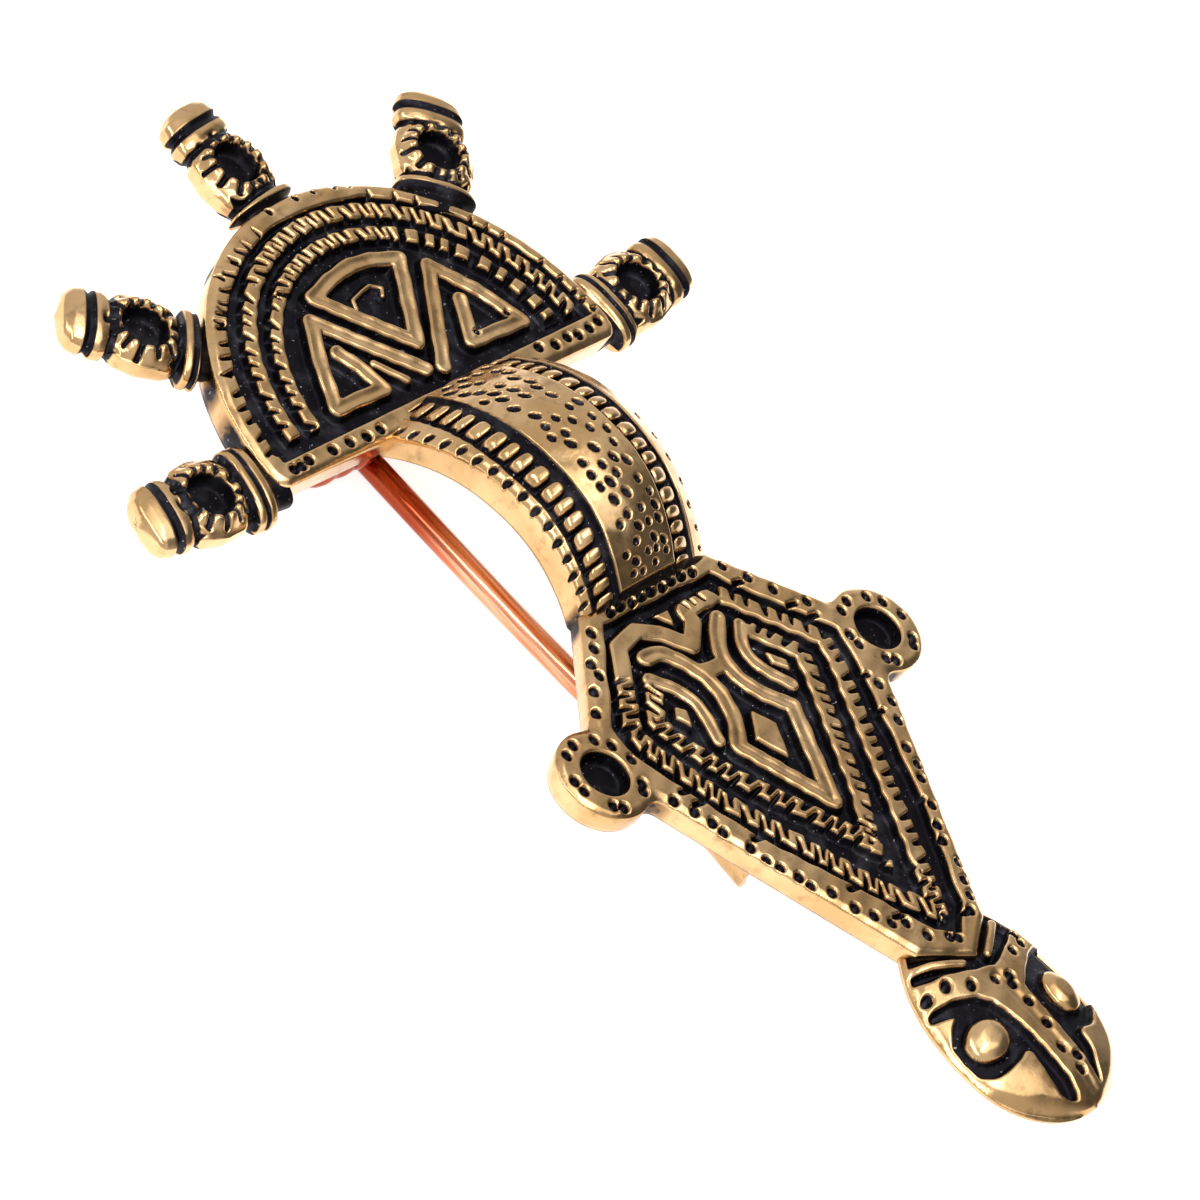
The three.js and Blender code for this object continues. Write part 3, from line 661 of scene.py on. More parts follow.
def foot_cut(x, y):
    inside = -foot_line(x, y)
    field = outside(x, y, FOOT_FIELD) + 0.05 * waver(x, y)
    depth = foot_bands(x, y, RELIEF * smooth(-field / SLOPE))
    for points, width in FOOT_BARS:
        depth = np.minimum(depth, bar(x, y, points, width))
    for points in FLATS:
        depth = np.minimum(depth, RELIEF * smooth(outside(x, y, points) / SLOPE))
    for px, py in FOOT_NOTCHES:
        distance, _, _ = along_line(x, y, [(px - 0.2, py + 0.04), (px + 0.24, py - 0.04)])
        notch = NOTCH * (1 - smooth((distance - 0.07) / 0.1))
        depth = np.maximum(depth, notch * smooth((inside - 0.3) / 0.15))
    depth = punch(depth, x, y, FOOT_DOTS, 0.2, 0.36, 1.15, 50)
    depth = depth * smooth((inside - 0.06) / 0.12)
    depth = punch(depth, x, y, CROSSBAR_DOTS, 0.15, 0.36, 1.8, 35)
    groove = 0.4 * (1 - smooth((np.abs(y - GROOVE_Y) - 0.12) / 0.12))
    depth = np.maximum(depth, np.where(np.abs(x) < GROOVE_END, groove, 0))
    hole = 1 - smooth((lobe_distance(x, y) - SOCKET_R + 0.06) / 0.16)
    return np.maximum(depth, SOCKET_DEPTH * hole)


def foot_worn(x, y):
    worn = edge_wear(-foot_line(x, y), 0.18)
    for points in (EYE_LEFT, EYE_RIGHT, ARM_LEFT, ARM_RIGHT):
        worn = worn + hollow(x, y, points, 0.26)
    return worn + 0.02 * waver(x, y, 1.3)


# %% Build the foot plate
FOOT_REACH = LOBE_X + LOBE_R + GRID
plate("foot_plate", foot_line, (-FOOT_REACH, -36.2), (FOOT_REACH, -12.5), (foot_cut, foot_worn),
      ((-0.45, 0.0), (-1.0, 0.02), (-1.35, 0.1), (-FOOT_THICK, 0.32)), FOOT_TURN, FOOT_SMUDGES)

# %% [markdown]
# ## Animal head
# The foot ends in a blunt animal's head seen from above, with brows that run into a
# long nose and two bulging eyes. It could be sculpted by hand, but it was cut with the
# same tools as the plates, so it is the same kind of grid over a domed face: the dome
# is part of the wear, and the sunk places round the eyes are part of the cut.

# %% The animal head's outline and carving
SNOUT_Y, SNOUT_HALF, SNOUT_FRONT, SNOUT_BACK, NECK_HALF = -39.6, 4.75, -44.9, -33.9, 2.7
BROW_LEFT = [(-5.4, -36.0), (-2.0, -36.8), (0.4, -37.5)]
BROW_RIGHT = [(0.4, -37.6), (2.2, -37.0), (4.4, -36.1)]
NOSE = [(0.4, -37.4), (0.5, -44.3)]
NECK_LINES = [[(-4.2, -34.75), (-2.3, -35.35), (-0.8, -36.05)], [(0.9, -36.25), (2.7, -35.1)]]
# the sunk places beside the nose, which run round the eyes
LEFT_SUNK = [(-4.75, -37.3), (-3.2, -37.0), (-0.5, -38.1), (-0.3, -44.3), (-1.35, -44.1), (-1.6, -43.0),
             (-1.15, -40.9), (-2.3, -41.4), (-3.6, -41.45), (-4.3, -41.1), (-4.5, -40.5), (-4.5, -39.6),
             (-4.4, -38.9), (-3.9, -38.3), (-3.2, -37.95), (-4.5, -37.65)]
RIGHT_SUNK = [(1.3, -38.4), (2.3, -37.6), (3.7, -36.9), (4.4, -37.0), (5.2, -37.8), (5.2, -40.3),
              (4.6, -40.9), (4.0, -41.2), (3.4, -41.7), (2.5, -41.5), (2.2, -41.7), (2.15, -42.4),
              (1.1, -44.3)]
# each eye: its middle, its two half lengths and how far it is turned
CHEEK_LINE = [(-5.2, -39.9), (-4.7, -41.1), (-1.4, -43.9), (-0.2, -44.6)]
EYES = [(-2.65, -39.65, 1.2, 1.0, 8), (3.2, -39.5, 0.95, 1.15, 0)]
FACE_DOTS = [(0.8, -39.2), (0.75, -40.5), (0.4, -41.8), (0.9, -42.5), (0.5, -43.1), (0.05, -37.5),
             (0.95, -37.7), (0.75, -38.1), (2.3, -36.75), (3.25, -36.6), (3.4, -36.1)]
BROW_DOTS = [(-3.75, -36.6), (-2.55, -36.55), (-1.4, -37.15)]


def snout_half(y):
    back = np.clip((y - SNOUT_Y) / (SNOUT_BACK - SNOUT_Y), 0, 1)
    front = np.clip((y - SNOUT_Y) / (SNOUT_FRONT - SNOUT_Y), 0, 1)
    neck = SNOUT_HALF + (NECK_HALF - SNOUT_HALF) * back ** 2.4
    return np.where(y > SNOUT_Y, neck, SNOUT_HALF * np.sqrt(1 - front ** 2.3))


def head_shape():
    """The outline's points, from the neck round the nose and back."""
    rows = SNOUT_BACK + (SNOUT_FRONT - SNOUT_BACK) * (0.5 - 0.5 * np.cos(np.linspace(0, math.pi, 40)))
    right = [(float(h), float(r)) for r, h in zip(rows, snout_half(rows))]
    return right + [(-x, y) for x, y in reversed(right[:-1])]


SNOUT_OUTLINE = head_shape()


def snout_line(x, y):
    return outside(x, y, SNOUT_OUTLINE)


def eye_radius(x, y, eye):
    ex, ey, long, short, turn = eye
    c, s = math.cos(math.radians(turn)), math.sin(math.radians(turn))
    return np.hypot(((x - ex) * c + (y - ey) * s) / long, ((y - ey) * c - (x - ex) * s) / short)


def snout_cut(x, y):
    sunk = np.minimum(outside(x, y, curved(LEFT_SUNK, 2)), outside(x, y, curved(RIGHT_SUNK, 2)))
    depth = 0.5 * smooth(-(sunk + 0.03 * waver(x, y, 2)) / 0.2)
    behind = np.minimum(bar(x, y, BROW_LEFT, 1.25), bar(x, y, BROW_RIGHT, 1.15))
    for points in NECK_LINES:
        behind = np.minimum(behind, bar(x, y, points, 0.34))
    brow_line = -37.35 + 0.26 * np.abs(x - 0.4)
    depth = np.where(y > brow_line, np.maximum(depth, behind), depth)
    for eye in EYES:
        depth = depth * smooth((eye_radius(x, y, eye) - 1.0) / 0.16)
    open_side = (x > 2.0) & (y < -36.2) & (y > -40.6)
    border, fade = np.where(open_side, -0.1, 0.12), np.where(open_side, 0.1, 0.4)
    depth = depth * smooth((-snout_line(x, y) - border) / fade)
    depth = punch(depth, x, y, FACE_DOTS, 0.2, 0.4)
    return punch(depth, x, y, BROW_DOTS, 0.19, 0.42, 1.5, 35)


def snout_worn(x, y):
    """The domed face with its bulging eyes, sunk cheek and the joint under the foot."""
    across = np.clip(np.abs(x - 0.2) / (snout_half(y) + 0.2), 0, 1)
    worn = -0.1 + 0.75 * across ** 2.6 + 0.5 * smooth((-42.0 - y) / 3.2) ** 1.5
    worn = worn + edge_wear(-snout_line(x, y), 0.3, 0.6)
    for eye in EYES:
        r = eye_radius(x, y, eye)
        worn = worn + np.where(r < 1.1, 0.42 - 0.62 * np.sqrt(np.clip(1.21 - r ** 2, 0, 1)), 0)
    distance, _, side = along_line(x, y, CHEEK_LINE)
    cheek = (side < 0) & (y < -39.5) & (x < 0.2)
    worn = worn + 0.5 * np.where(cheek, smooth(distance / 1.6), 0)
    distance, _, _ = along_line(x, y, NOSE)
    worn = np.minimum(worn + 0.08 * smooth(1 - distance / 0.5) + 0.02 * waver(x, y), 0.97)
    return np.minimum(worn + 0.7 * smooth(-outside(x, y, FOOT_OUTLINE) / 0.2), 0.95)


# %% Build the animal head
plate("animal_head", snout_line, (-4.9, -45.0), (4.9, -33.8), (snout_cut, snout_worn),
      ((-1.0, 0.0), (-1.15, 0.03), (-1.38, 0.3), (-FOOT_THICK, 0.85)), FOOT_TURN, step=0.065)

# %% [markdown]
# ## Knobs
# Five knobs stand round the head plate, each a little lower or higher than the next.
# The wax for one was rolled, pressed flat and cut: two collar ridges at the plate, a
# flat-topped body, a ridge and a blunt end. A socket was drilled in the body and petals
# cut round it. A lathe would give round knobs and these are squarish, so a grid is
# wrapped round the axis as a soft-cornered box, and the socket and petals sink or
# raise its upper side.

# %% The knob's profile and carving
# each knob: its angle round the plate, how much lower it sits, how its ridges slant
KNOBS = [(-85.5, 0.1, 0.1), (-50.4, 0.3, 0.02), (-3.5, 0.1, -0.08), (39.5, -0.2, 0.05), (82.5, 0.35, 0.06)]
# (distance from the pattern's origin, half width) along a knob
KNOB_PROFILE = [(12.6, 1.6), (12.85, 2.15), (13.2, 2.2), (13.4, 2.0), (13.6, 2.2), (13.9, 2.15),
                (14.12, 1.7), (14.7, 2.0), (16.0, 2.15), (17.1, 1.95), (17.6, 1.55), (17.8, 1.8),
                (18.15, 1.9), (18.45, 1.85), (18.68, 1.6), (18.95, 1.85), (19.5, 1.7),
                (19.9, 1.25), (20.1, 0.7), (20.2, 0.0)]
KNOB_END = KNOB_PROFILE[-1][0]
# where black stays: between ridges (at, width, dark), and in the walls (at, angle from
# the underside, half length and half angle)
KNOB_GROOVES = [(13.42, 0.1, 0.45), (14.14, 0.16, 0.55), (17.58, 0.14, 0.55), (18.68, 0.3, 0.6)]
KNOB_HOLLOWS = [(14.35, 1.05, 0.42, 0.3), (17.7, 1.15, 0.34, 0.25)]
KNOB_STEM = 1.5
KNOB_AXIS_Z, KNOB_FLAT, KNOB_SQUARE = -0.95, 0.5, 0.8
KNOB_SOCKET_AT, KNOB_SOCKET_R, COLLAR_TOP = 15.99, 1.07, 0.22
PETALS, KNOB_COLUMNS, KNOB_ROWS = 13, 156, 128


def softened(value):
    return np.sign(value) * np.abs(value) ** KNOB_SQUARE


def knob_body(along, ridge, angle, edge):
    """Across and height of the plain knob. At the plate's edge it starts as a stem."""
    half = np.interp(ridge, *zip(*KNOB_PROFILE))
    half = mix(KNOB_STEM, half, smooth((along - edge - 0.1) / 0.2))
    half = half * np.sqrt(np.clip((KNOB_END - along) / 0.3, 0, 1))
    return half * softened(np.sin(angle)), KNOB_AXIS_Z + KNOB_FLAT * half * softened(np.cos(angle))


def knob_petals(r, way, seed):
    """Cuts that stand round the socket like rays, at an uneven pace."""
    phase = (way * PETALS / (2 * math.pi) + 0.14 * np.sin(3 * way + seed)) % 1
    between = np.minimum(phase, 1 - phase) * 2 * math.pi * np.maximum(r, 0.3) / PETALS
    petal = 0.34 * (1 - smooth((between - 0.06) / 0.1)) * smooth((r - 1.16) / 0.12)
    return petal * (1 - smooth((r - 1.78 - 0.12 * np.sin(5 * way + seed)) / 0.15))


def knob_stains(along, ridge, angle, edge):
    """Patina without a cut: between the ridges, at the stem and in the walls' hollows."""
    stain = 0.25 * (along < edge + 0.3) * (np.cos(angle) > -0.2)
    for at, width, dark in KNOB_GROOVES:
        groove = dark * (1 - smooth((np.abs(ridge - at) - width * 0.5) / 0.16))
        stain = np.maximum(stain, groove * smooth((np.cos(angle) + 0.3) / 0.3))
    for at, turn, long, wide in KNOB_HOLLOWS:
        away = np.hypot((along - at) / long, (np.abs(angle - math.pi) - turn) / wide)
        stain = np.maximum(stain, 0.25 * (1 - smooth((away - 0.85) / 0.3)))
    return stain


def knob_surface(along, angle, seed, edge, slant):
    """Place and recess on a knob, for a distance along it and an angle round it (0 = up)."""
    ridge = along + slant * 2 * np.sin(angle)
    x, z = knob_body(along, ridge, angle, edge)
    up = np.cos(angle) > 0
    r = np.hypot(x, (along - KNOB_SOCKET_AT) * 0.95)
    ring = COLLAR_TOP - 0.75 * smooth((r - 1.4) / 0.75) - 0.06 * smooth((1.3 - r) / 0.15)
    z = np.where(up & (r < 2.2), np.maximum(z, ring), z)
    on_body = smooth((ridge - 13.95) / 0.1) * smooth((17.8 - ridge) / 0.1)
    corner = 0.36 * smooth((r - 2.02) / 0.12) * on_body * smooth((1.72 - np.abs(x)) / 0.16)
    petals = knob_petals(r, np.arctan2(x, along - KNOB_SOCKET_AT), seed)
    cut = np.where(up, np.maximum(petals, corner), 0)
    socket = np.where(up, 0.95 * (1 - smooth((r - KNOB_SOCKET_R + 0.04) / 0.14)), 0)
    recess = np.maximum(np.maximum(cut, socket), knob_stains(along, ridge, angle, edge))
    return x, z - cut - socket, recess


def knob(number, angle, drop, slant):
    a = math.radians(angle)
    edge = ARC_Y * math.cos(a) + math.sqrt(ARC_R ** 2 - (ARC_Y * math.sin(a)) ** 2)
    bm = bmesh.new()
    bmesh.ops.create_grid(bm, x_segments=KNOB_COLUMNS, y_segments=KNOB_ROWS, size=0.5)
    u, v, _ = coordinates(bm)
    along = mix(edge - 0.8, KNOB_END, v + 0.5)
    turn = 2 * math.pi * (u + 0.25 * np.sin(2 * math.pi * u) / math.pi)
    x, z, cut = knob_surface(along, turn % (2 * math.pi), number, edge, slant)
    wrap(bm, x, along, z, cut)
    rub(bm, 3)
    place = HEAD_TURN @ Matrix.Translation((0, 0, -drop)) @ Matrix.Rotation(-a, 4, "Z")
    finish_piece(bm, f"knob_{number}", BRONZE, place)


# %% Build the knobs
for number, values in enumerate(KNOBS, 1):
    knob(number, *values)

# %% [markdown]
# ## Bow
# The bow arches from the head plate to the foot plate. Two rows of beads run along it
# between cut channels, with a smooth punched panel between them and a dotted rim on
# its left. A curve with a drawn section could make it, but its beads need a face that
# is carved as the plates are. So a grid is bent over the arch, turned down at both long
# edges for the walls, closed on the underside, and its two ends are filled.

# %% The bow's shape
BOW_HEAD_Y, BOW_FOOT_Y = 1.1, -12.93
# the two beaded rows, from -1 at the bow's left edge to 1 at its right
BOW_ROWS = [(-0.74, -0.555), (0.36, 0.6)]
BOW_BEADS, BOW_EDGE, BOW_CUT, BOW_WALL = 18, 0.062, 0.45, 1.6


def bow_step(t):
    """Equal steps along the arch rather than along Y."""
    return 0.5 - 0.5 * np.cos(math.pi * (0.15 + 0.7 * t)) / math.cos(math.pi * 0.15)


def bow_place(side, along):
    """A point of the bow's face: side -1..1 across it, along 0..1 from head to foot."""
    span = 2 * along - 1
    x = side * mix(5.25, 4.45, along) + 0.85 * (1 - along)
    y = mix(BOW_HEAD_Y, BOW_FOOT_Y, along)
    edge = mix(-0.8, 1.6, along) + 3.05 * (1 - np.abs(span) ** 2.2) + side * 0.5 * (1 - along)
    end = np.where(span < 0, 1.7, 1.3)
    crown = mix(1.8, end, np.abs(span) ** 3)
    return x, y, edge + crown * (1 - side ** 2), edge


def scattered(count, low, high, apart, seed):
    """Places in a box, none nearer to another than apart."""
    rng = random.Random(seed)
    spots = []
    while len(spots) < count:
        spot = (rng.uniform(low[0], high[0]), rng.uniform(low[1], high[1]))
        if all(math.hypot(spot[0] - s[0], spot[1] - s[1]) > apart for s in spots):
            spots.append(spot)
    return spots


BOW_WIDTH, BOW_LENGTH = 4.85, 17.2
PANEL_DOTS = scattered(66, (-1.95, 0.6), (0.95, 16.4), 0.62, 11)
EDGE_DOTS = [(-4.57 - 0.1 * i / 17 + 0.05 * math.sin(3.1 * i), 0.9 + 0.95 * i) for i in range(17)]
FAR_DOTS = [(4.3 + 0.1 * math.sin(2.7 * i), 8.5 + 1.3 * i) for i in range(7)]


def bow_back(edge, along):
    """Height of the underside, a wall's thickness down but above the plates' backs."""
    return np.maximum(edge - BOW_WALL, mix(-HEAD_THICK, 0.28, along) + 0.17)


def bow_rows(side, t):
    """For each beaded row: across it (0 in its middle, 1 at its edge) and a bead's share."""
    y = t * BOW_LENGTH
    for number, (low, high) in enumerate(BOW_ROWS):
        drift = (0.03 - 0.11 * smooth(2 * t), 0.02 * t)[number]
        across = np.abs(side - (low + high) / 2 - drift) / (high - low) * 2
        yield across, (y + 0.1 * np.sin(1.7 * y + number)) * BOW_BEADS / BOW_LENGTH % 1


def bow_cut(side, t):
    x, y = side * BOW_WIDTH, t * BOW_LENGTH
    depth = np.zeros(x.shape)
    for (across, cell), (low, high) in zip(bow_rows(side, t), BOW_ROWS):
        half = (high - low) / 2 * BOW_WIDTH
        bead = (across ** 4 + np.abs(2.7 * (cell - 0.5)) ** 4) ** (1 / 4)
        out = (across - 1) * half - BOW_EDGE * BOW_WIDTH
        row = BOW_CUT * smooth((bead - 1.0) / 0.2) * (1 - smooth(out / 0.12))
        depth = np.maximum(depth, row)
    end = np.minimum(t, 1 - t) * BOW_LENGTH
    depth = np.maximum(depth, 0.35 * (1 - smooth((end - 0.18) / 0.14)))
    depth = punch(depth, x, y, PANEL_DOTS[::2], 0.2, 0.26, 1.3, 60)
    depth = punch(depth, x, y, PANEL_DOTS[1::2], 0.18, 0.26, 1.1, 110)
    return punch(depth, x, y, EDGE_DOTS + FAR_DOTS, 0.16, 0.26)


def bow_worn(side, t):
    """Beads are domed, and the panel's long edges stand up a little."""
    worn = np.zeros(side.shape)
    for across, cell in bow_rows(side, t):
        bead = (across ** 3 + np.abs(2.7 * (cell - 0.5)) ** 3) ** (1 / 3)
        dome = np.sqrt(np.clip(1 - np.minimum(bead, 1) ** 2, 0, 1))
        worn = np.where(across < 1.1, 0.2 * (1 - dome), worn)
    panel = np.clip(np.abs(side + 0.14) / 0.41, 0, 1)
    worn = worn + 0.1 * (1 - panel ** 4) * (panel < 1)
    edge = np.clip(1 - (1 - np.abs(side)) * BOW_WIDTH / 0.35, 0, 1)
    return worn + 0.2 * (1 - np.sqrt(1 - edge ** 2)) + 0.02 * waver(side * BOW_WIDTH, t * BOW_LENGTH)


# %% Build the bow
def bow():
    across, turned, rows = 160, 12, 270
    bm = bmesh.new()
    bmesh.ops.create_grid(bm, x_segments=across + 2 * turned, y_segments=rows, size=0.5)
    u, v, _ = coordinates(bm)
    column = np.round((u + 0.5) * (across + 2 * turned)) - turned
    side = np.clip(2 * column / across - 1, -1, 1)
    down = np.clip(np.maximum(-column, column - across) / turned, 0, 1)
    t = 0.5 - v
    along = bow_step(t)
    x, y, face, edge = bow_place(side, along)
    middle, _, _, middle_edge = bow_place(0 * side, along)
    root = (0.2 * smooth((0.05 - along) / 0.03) + 0.14 * smooth((along - 0.92) / 0.05)) * (side < 0)
    cut = np.where(down > 0, root, bow_cut(side, t))
    top = face - np.where(down > 0, 0, cut) - bow_worn(side, t)
    wall = mix(top, bow_back(edge, along), np.clip(2 * down, 0, 1))
    under = np.clip(2 * down - 1, 0, 1)
    wrap(bm, mix(x, middle, under), y, mix(wall, bow_back(middle_edge, along), under), cut)
    finish_piece(bm, "bow", BRONZE)


bow()

# %% [markdown]
# ## Lug and catch
# The wire's coil turns in a pierced tongue under the head plate, and the point rests
# in a bent plate under the foot. Both are cast with the rest and nobody sees them when
# it is worn, so they are plain metal with soft corners. A box with a hole cut in it
# would do for the lug, but a flat shape, extruded and bevelled, makes both alike.

# %% Build the lug and the catch
WIRE, GAP = 0.667, 0.25
PIN_ROOT, PIN_TIP = Vector((-1.32, 3.0, -5.6)), Vector((0.0, -26.2, -3.9))
CATCH_TOP, CATCH_END, CATCH_PLATE, CATCH_GAP = -20.8, -25.8, 0.5, 0.32
CATCH_ROOT_Z, LUG_ROOT_Y, LUG_WALL, LUG_HALF, SHARP = 1.13, 3.1, 0.72, 0.5, 0.9


def thicken(bm, step, soft):
    """Extrudes a flat shape by a step and bevels its sharp edges."""
    made = bmesh.ops.extrude_face_region(bm, geom=bm.faces[:])["geom"]
    bmesh.ops.translate(bm, verts=[g for g in made if isinstance(g, bmesh.types.BMVert)], vec=step)
    bmesh.ops.recalc_face_normals(bm, faces=bm.faces)
    sharp = [e for e in bm.edges if e.calc_face_angle(0) > SHARP]
    bmesh.ops.bevel(bm, geom=sharp, offset=soft, segments=2, profile=0.5, affect="EDGES", material=-1)


def round_points(cx, cy, r, start, end, steps):
    angles = [math.radians(mix(start, end, i / steps)) for i in range(steps + 1)]
    return [(cx + r * math.sin(a), cy + r * math.cos(a)) for a in angles]


def lug():
    """A ring whose upper half is pulled up to the plate and squared."""
    hole = WIRE + GAP
    r = hole + LUG_WALL
    bm = bmesh.new()
    for radius in (r, hole):
        bmesh.ops.create_circle(bm, cap_ends=False, radius=radius, segments=48)
    bmesh.ops.bridge_loops(bm, edges=bm.edges)
    for v in bm.verts:
        if v.co.y > 0 and v.co.length > (r + hole) / 2:
            v.co.y = max(v.co.y, LUG_ROOT_Y)
            v.co.x = math.copysign(r, v.co.x) * min(1, abs(v.co.x) / r * 1.6)
    bmesh.ops.remove_doubles(bm, verts=bm.verts, dist=1e-4)
    thicken(bm, (0, 0, 2 * LUG_HALF), 0.08)
    stand = Matrix(((0, 0, 1, 0), (1, 0, 0, 0), (0, 1, 0, 0), (0, 0, 0, 1)))
    bm.transform(Matrix.Translation((HINGE.x - LUG_HALF, HINGE.y, HINGE.z)) @ stand)
    finish_piece(bm, "lug", BRONZE)


def catch():
    """A strip that comes down from the foot and is rolled round the wire's place."""
    share = ((CATCH_TOP + CATCH_END) / 2 - PIN_ROOT.y) / (PIN_TIP.y - PIN_ROOT.y)
    middle = PIN_ROOT.lerp(PIN_TIP, share)
    inner = WIRE + CATCH_GAP
    outer = inner + CATCH_PLATE
    shape = [(middle.x - inner, CATCH_ROOT_Z), (middle.x - outer, CATCH_ROOT_Z)]
    shape += round_points(middle.x, middle.z, outer, 270, 210, 12)
    shape += round_points(middle.x, middle.z, inner, 210, 270, 12)
    bm = bmesh.new()
    bm.faces.new([bm.verts.new((x, CATCH_END, z)) for x, z in shape])
    thicken(bm, (0, CATCH_TOP - CATCH_END, 0), 0.1)
    finish_piece(bm, "catch", BRONZE)


lug()
catch()

# %% [markdown]
# ## The copper wire
# One drawn wire makes the spring and the pin. It is coiled a little over three turns
# on each side of the lug, and its shaft runs under the bow into the catch. A bevelled
# curve object could draw it, but a helix is a formula, so the wire's middle line is
# worked out step by step and a round section is drawn along it, with closed ends.

# %% The wire's middle line and its tube
COIL_R, TURNS, STEPS = 1.32, 3.3, 48
SHAFT_TAPER, BEND, SHAFT_STEPS = 5.0, 0.4, 120
COIL_OFF, CORE_LEFT, CORE_RIGHT = 0.85, -5.3, 5.7


def coil_line(start, way, first_turn):
    """A helix from x = start, winding to the right (way 1) or to the left (way -1)."""
    points = []
    for i in range(round(TURNS * STEPS) + 1):
        turn = first_turn + 2 * math.pi * i / STEPS
        x = start + way * 2 * WIRE * i / STEPS
        points.append((x, HINGE.y + COIL_R * math.sin(turn), HINGE.z - COIL_R * math.cos(turn)))
    return points


def tube(points, radii, sides=20):
    """Draws a round section along the points. Returns the bmesh."""
    path = np.array(points, float)
    ahead = np.gradient(path, axis=0)
    ahead /= np.linalg.norm(ahead, axis=1)[:, None]
    normal = np.cross(ahead[0], (0.31, 0.17, 0.93))
    frames = []
    for direction in ahead:
        normal = normal - direction * (normal @ direction)
        normal /= np.linalg.norm(normal)
        frames.append((normal, np.cross(direction, normal)))
    bm = bmesh.new()
    rows = len(points) - 1
    bmesh.ops.create_grid(bm, x_segments=sides, y_segments=rows, size=0.5)
    for v in bm.verts:
        angle, row = 2 * math.pi * (v.co.x + 0.5), round((v.co.y + 0.5) * rows)
        a, b = frames[row]
        v.co = Vector(path[row] + radii[row] * (math.cos(angle) * a + math.sin(angle) * b))
    close_up(bm)
    return bm


# %% The copper
COPPER_RED = (0.66, 0.22, 0.11, 1)
COPPER_PALE = (0.86, 0.42, 0.27, 1)
# painted shade: the wire's darker red near the coil, where the head plate shades it
COPPER_PAINTED_SHADE = (0.34, 0.06, 0.025, 1)


def copper_material():
    """Fine lines along the wire, and a darker red near the coil, which is painted shade under the head plate.
    """
    material, tree, shader = principled("drawn copper")
    place = node(tree, "ShaderNodeTexCoord").outputs["Object"]
    drawn = node(tree, "ShaderNodeMapping", {"Vector": place, "Scale": (1, 0.02, 1)})
    lines = noise(tree, drawn.outputs["Vector"], 3500, 2)
    colour = blend(tree, spread(tree, lines, 0.35, 0.65), COPPER_RED, COPPER_PALE)
    along = node(tree, "ShaderNodeSeparateXYZ", {"Vector": place}).outputs["Y"]
    feed(tree, shader, {
        "Base Color": blend(tree, spread(tree, along, 0.007, 0.0125), colour, COPPER_PAINTED_SHADE),
        "Metallic": 1,
        "Roughness": spread(tree, lines, 0.3, 0.7, 0.14, 0.24),
        "Normal": bumped(tree, lines, 0.15, 0.00004),
    })
    return material


COPPER = copper_material()
print("finish", COPPER.name)


# %% Build the wire
def wire_part(name, points, radii):
    finish_piece(tube(points, radii), name, COPPER, body="wire", stand_in="pin")


def shaft_point(share):
    """The shaft from its point (0) to its root (1), bent down a little like a bow."""
    return tuple(PIN_TIP.lerp(PIN_ROOT, share) - Vector((0, 0, BEND * math.sin(math.pi * share))))


def shaft_radius(share):
    grown = min(1, share * (PIN_ROOT - PIN_TIP).length / SHAFT_TAPER)
    return WIRE * min(1, 0.12 + 0.88 * math.sin(grown * math.pi / 2))


shares = [i / SHAFT_STEPS for i in range(SHAFT_STEPS)]
left_turns = coil_line(PIN_ROOT.x, -1, 0.0)
wire_part("pin_wire", [shaft_point(share) for share in shares] + left_turns,
          [shaft_radius(share) for share in shares] + [WIRE] * len(left_turns))
right_turns = coil_line(HINGE.x + COIL_OFF + WIRE, 1, math.pi / 2)
wire_part("coil_right", right_turns, [WIRE] * len(right_turns))
core = [(mix(CORE_LEFT, CORE_RIGHT, i / 60), HINGE.y, HINGE.z) for i in range(61)]
wire_part("coil_core", core, [WIRE] * len(core))

# %% [markdown]
# ## Light, floor and camera
# The brooch lies on a glowing table as small bright things are often shown: the table
# lights its walls from below and leaves almost no shadow. Wide soft lights hang above
# it and at its left, and a long lens looks from the head's left. Lamps alone would
# leave polished metal black, so it also mirrors a bright room that is dimmer on one
# side.

# %% The floor and the lights
AIM = Vector((0, 0, 0.005))


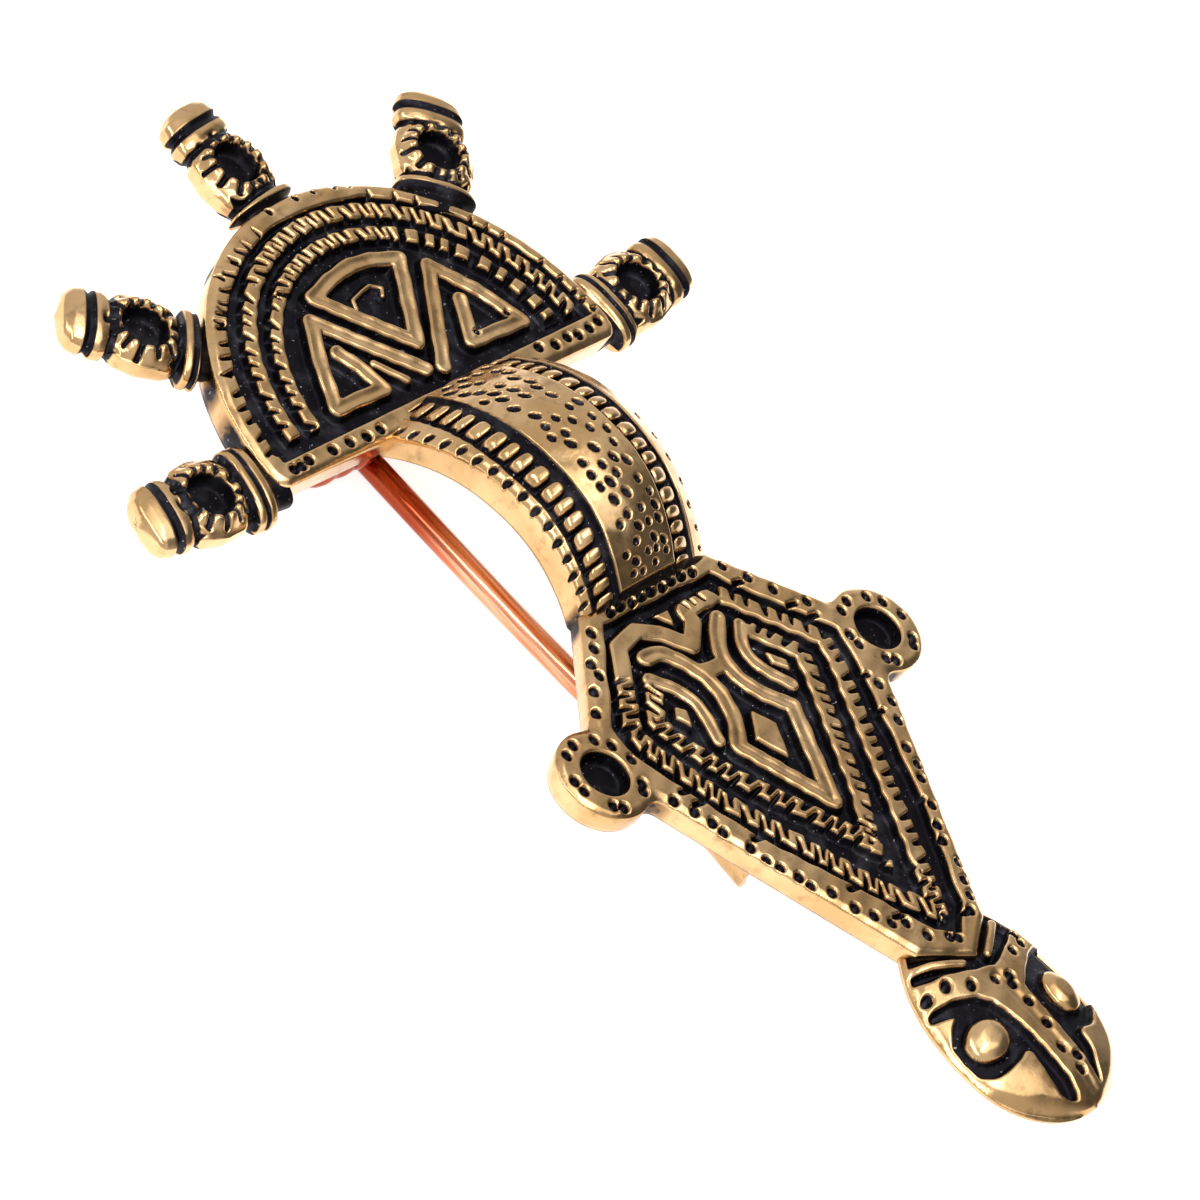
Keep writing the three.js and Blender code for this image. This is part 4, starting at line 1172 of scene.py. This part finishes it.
def floor():
    bm = bmesh.new()
    bmesh.ops.create_grid(bm, x_segments=1, y_segments=1, size=1.5)
    table, tree, shader = principled("light table")
    feed(tree, shader, {"Base Color": (0.9, 0.9, 0.9, 1), "Roughness": 0.6,
                        "Emission Color": (1, 1, 1, 1), "Emission Strength": 0.75})
    made_object(bm, "floor", table)


def soft_light(name, place, size, power):
    """A rectangular light that looks at the brooch."""
    data = bpy.data.lights.new(name, "AREA")
    data.shape = "RECTANGLE"
    data.size, data.size_y = size
    data.energy = power
    light = bpy.data.objects.new(name, data)
    light.location = place
    light.rotation_euler = (AIM - Vector(place)).to_track_quat("-Z", "Y").to_euler()
    bpy.context.scene.collection.objects.link(light)


floor()
soft_light("ceiling", (0, 0, 1.2), (1.2, 1.2), 6.0)
soft_light("left strip", (-0.45, 0.14, 0.42), (0.9, 0.1), 1.8)
soft_light("top strip", (-0.1, -0.05, 0.6), (0.12, 0.5), 0.9)


def white_room():
    """A bright room that is dimmer on one side, so that polished faces turn from light to dark."""
    world = bpy.data.worlds.new("white room")
    world.use_nodes = True
    tree = world.node_tree
    seen = node(tree, "ShaderNodeTexCoord").outputs["Generated"]
    toward = node(tree, "ShaderNodeVectorMath", {0: seen, 1: (0.72, -0.52, 0.46)},
                  operation="DOT_PRODUCT")
    level = spread(tree, toward.outputs["Value"], 0.5, 0.98, 0.9, 0.14)
    feed(tree, tree.nodes["Background"], {"Strength": level, "Color": (1, 1, 1, 1)})
    return world


bpy.context.scene.world = white_room()
bpy.context.scene.view_settings.view_transform = "Standard"
print("lights", sorted(light.name for light in bpy.data.lights))

# %% The camera
EYE = Vector((-216.43, -80.45, 202.26))
AHEAD = Vector((0.70992, 0.22637, -0.66691)).normalized()
ROLL_UP = Vector((0.31706, 0.74283, 0.58965))

data = bpy.data.cameras.new("camera")
data.sensor_width = 36
data.lens = 195.2
data.clip_start, data.clip_end = 0.01, 10
camera = bpy.data.objects.new("camera", data)
right = AHEAD.cross(ROLL_UP).normalized()
turn = Matrix((right, right.cross(AHEAD), -AHEAD)).transposed().to_4x4()
camera.matrix_world = Matrix.Translation(TO_FRAME @ EYE) @ turn
bpy.context.scene.collection.objects.link(camera)
bpy.context.scene.camera = camera
print("camera at", [round(v, 3) for v in camera.matrix_world.translation])
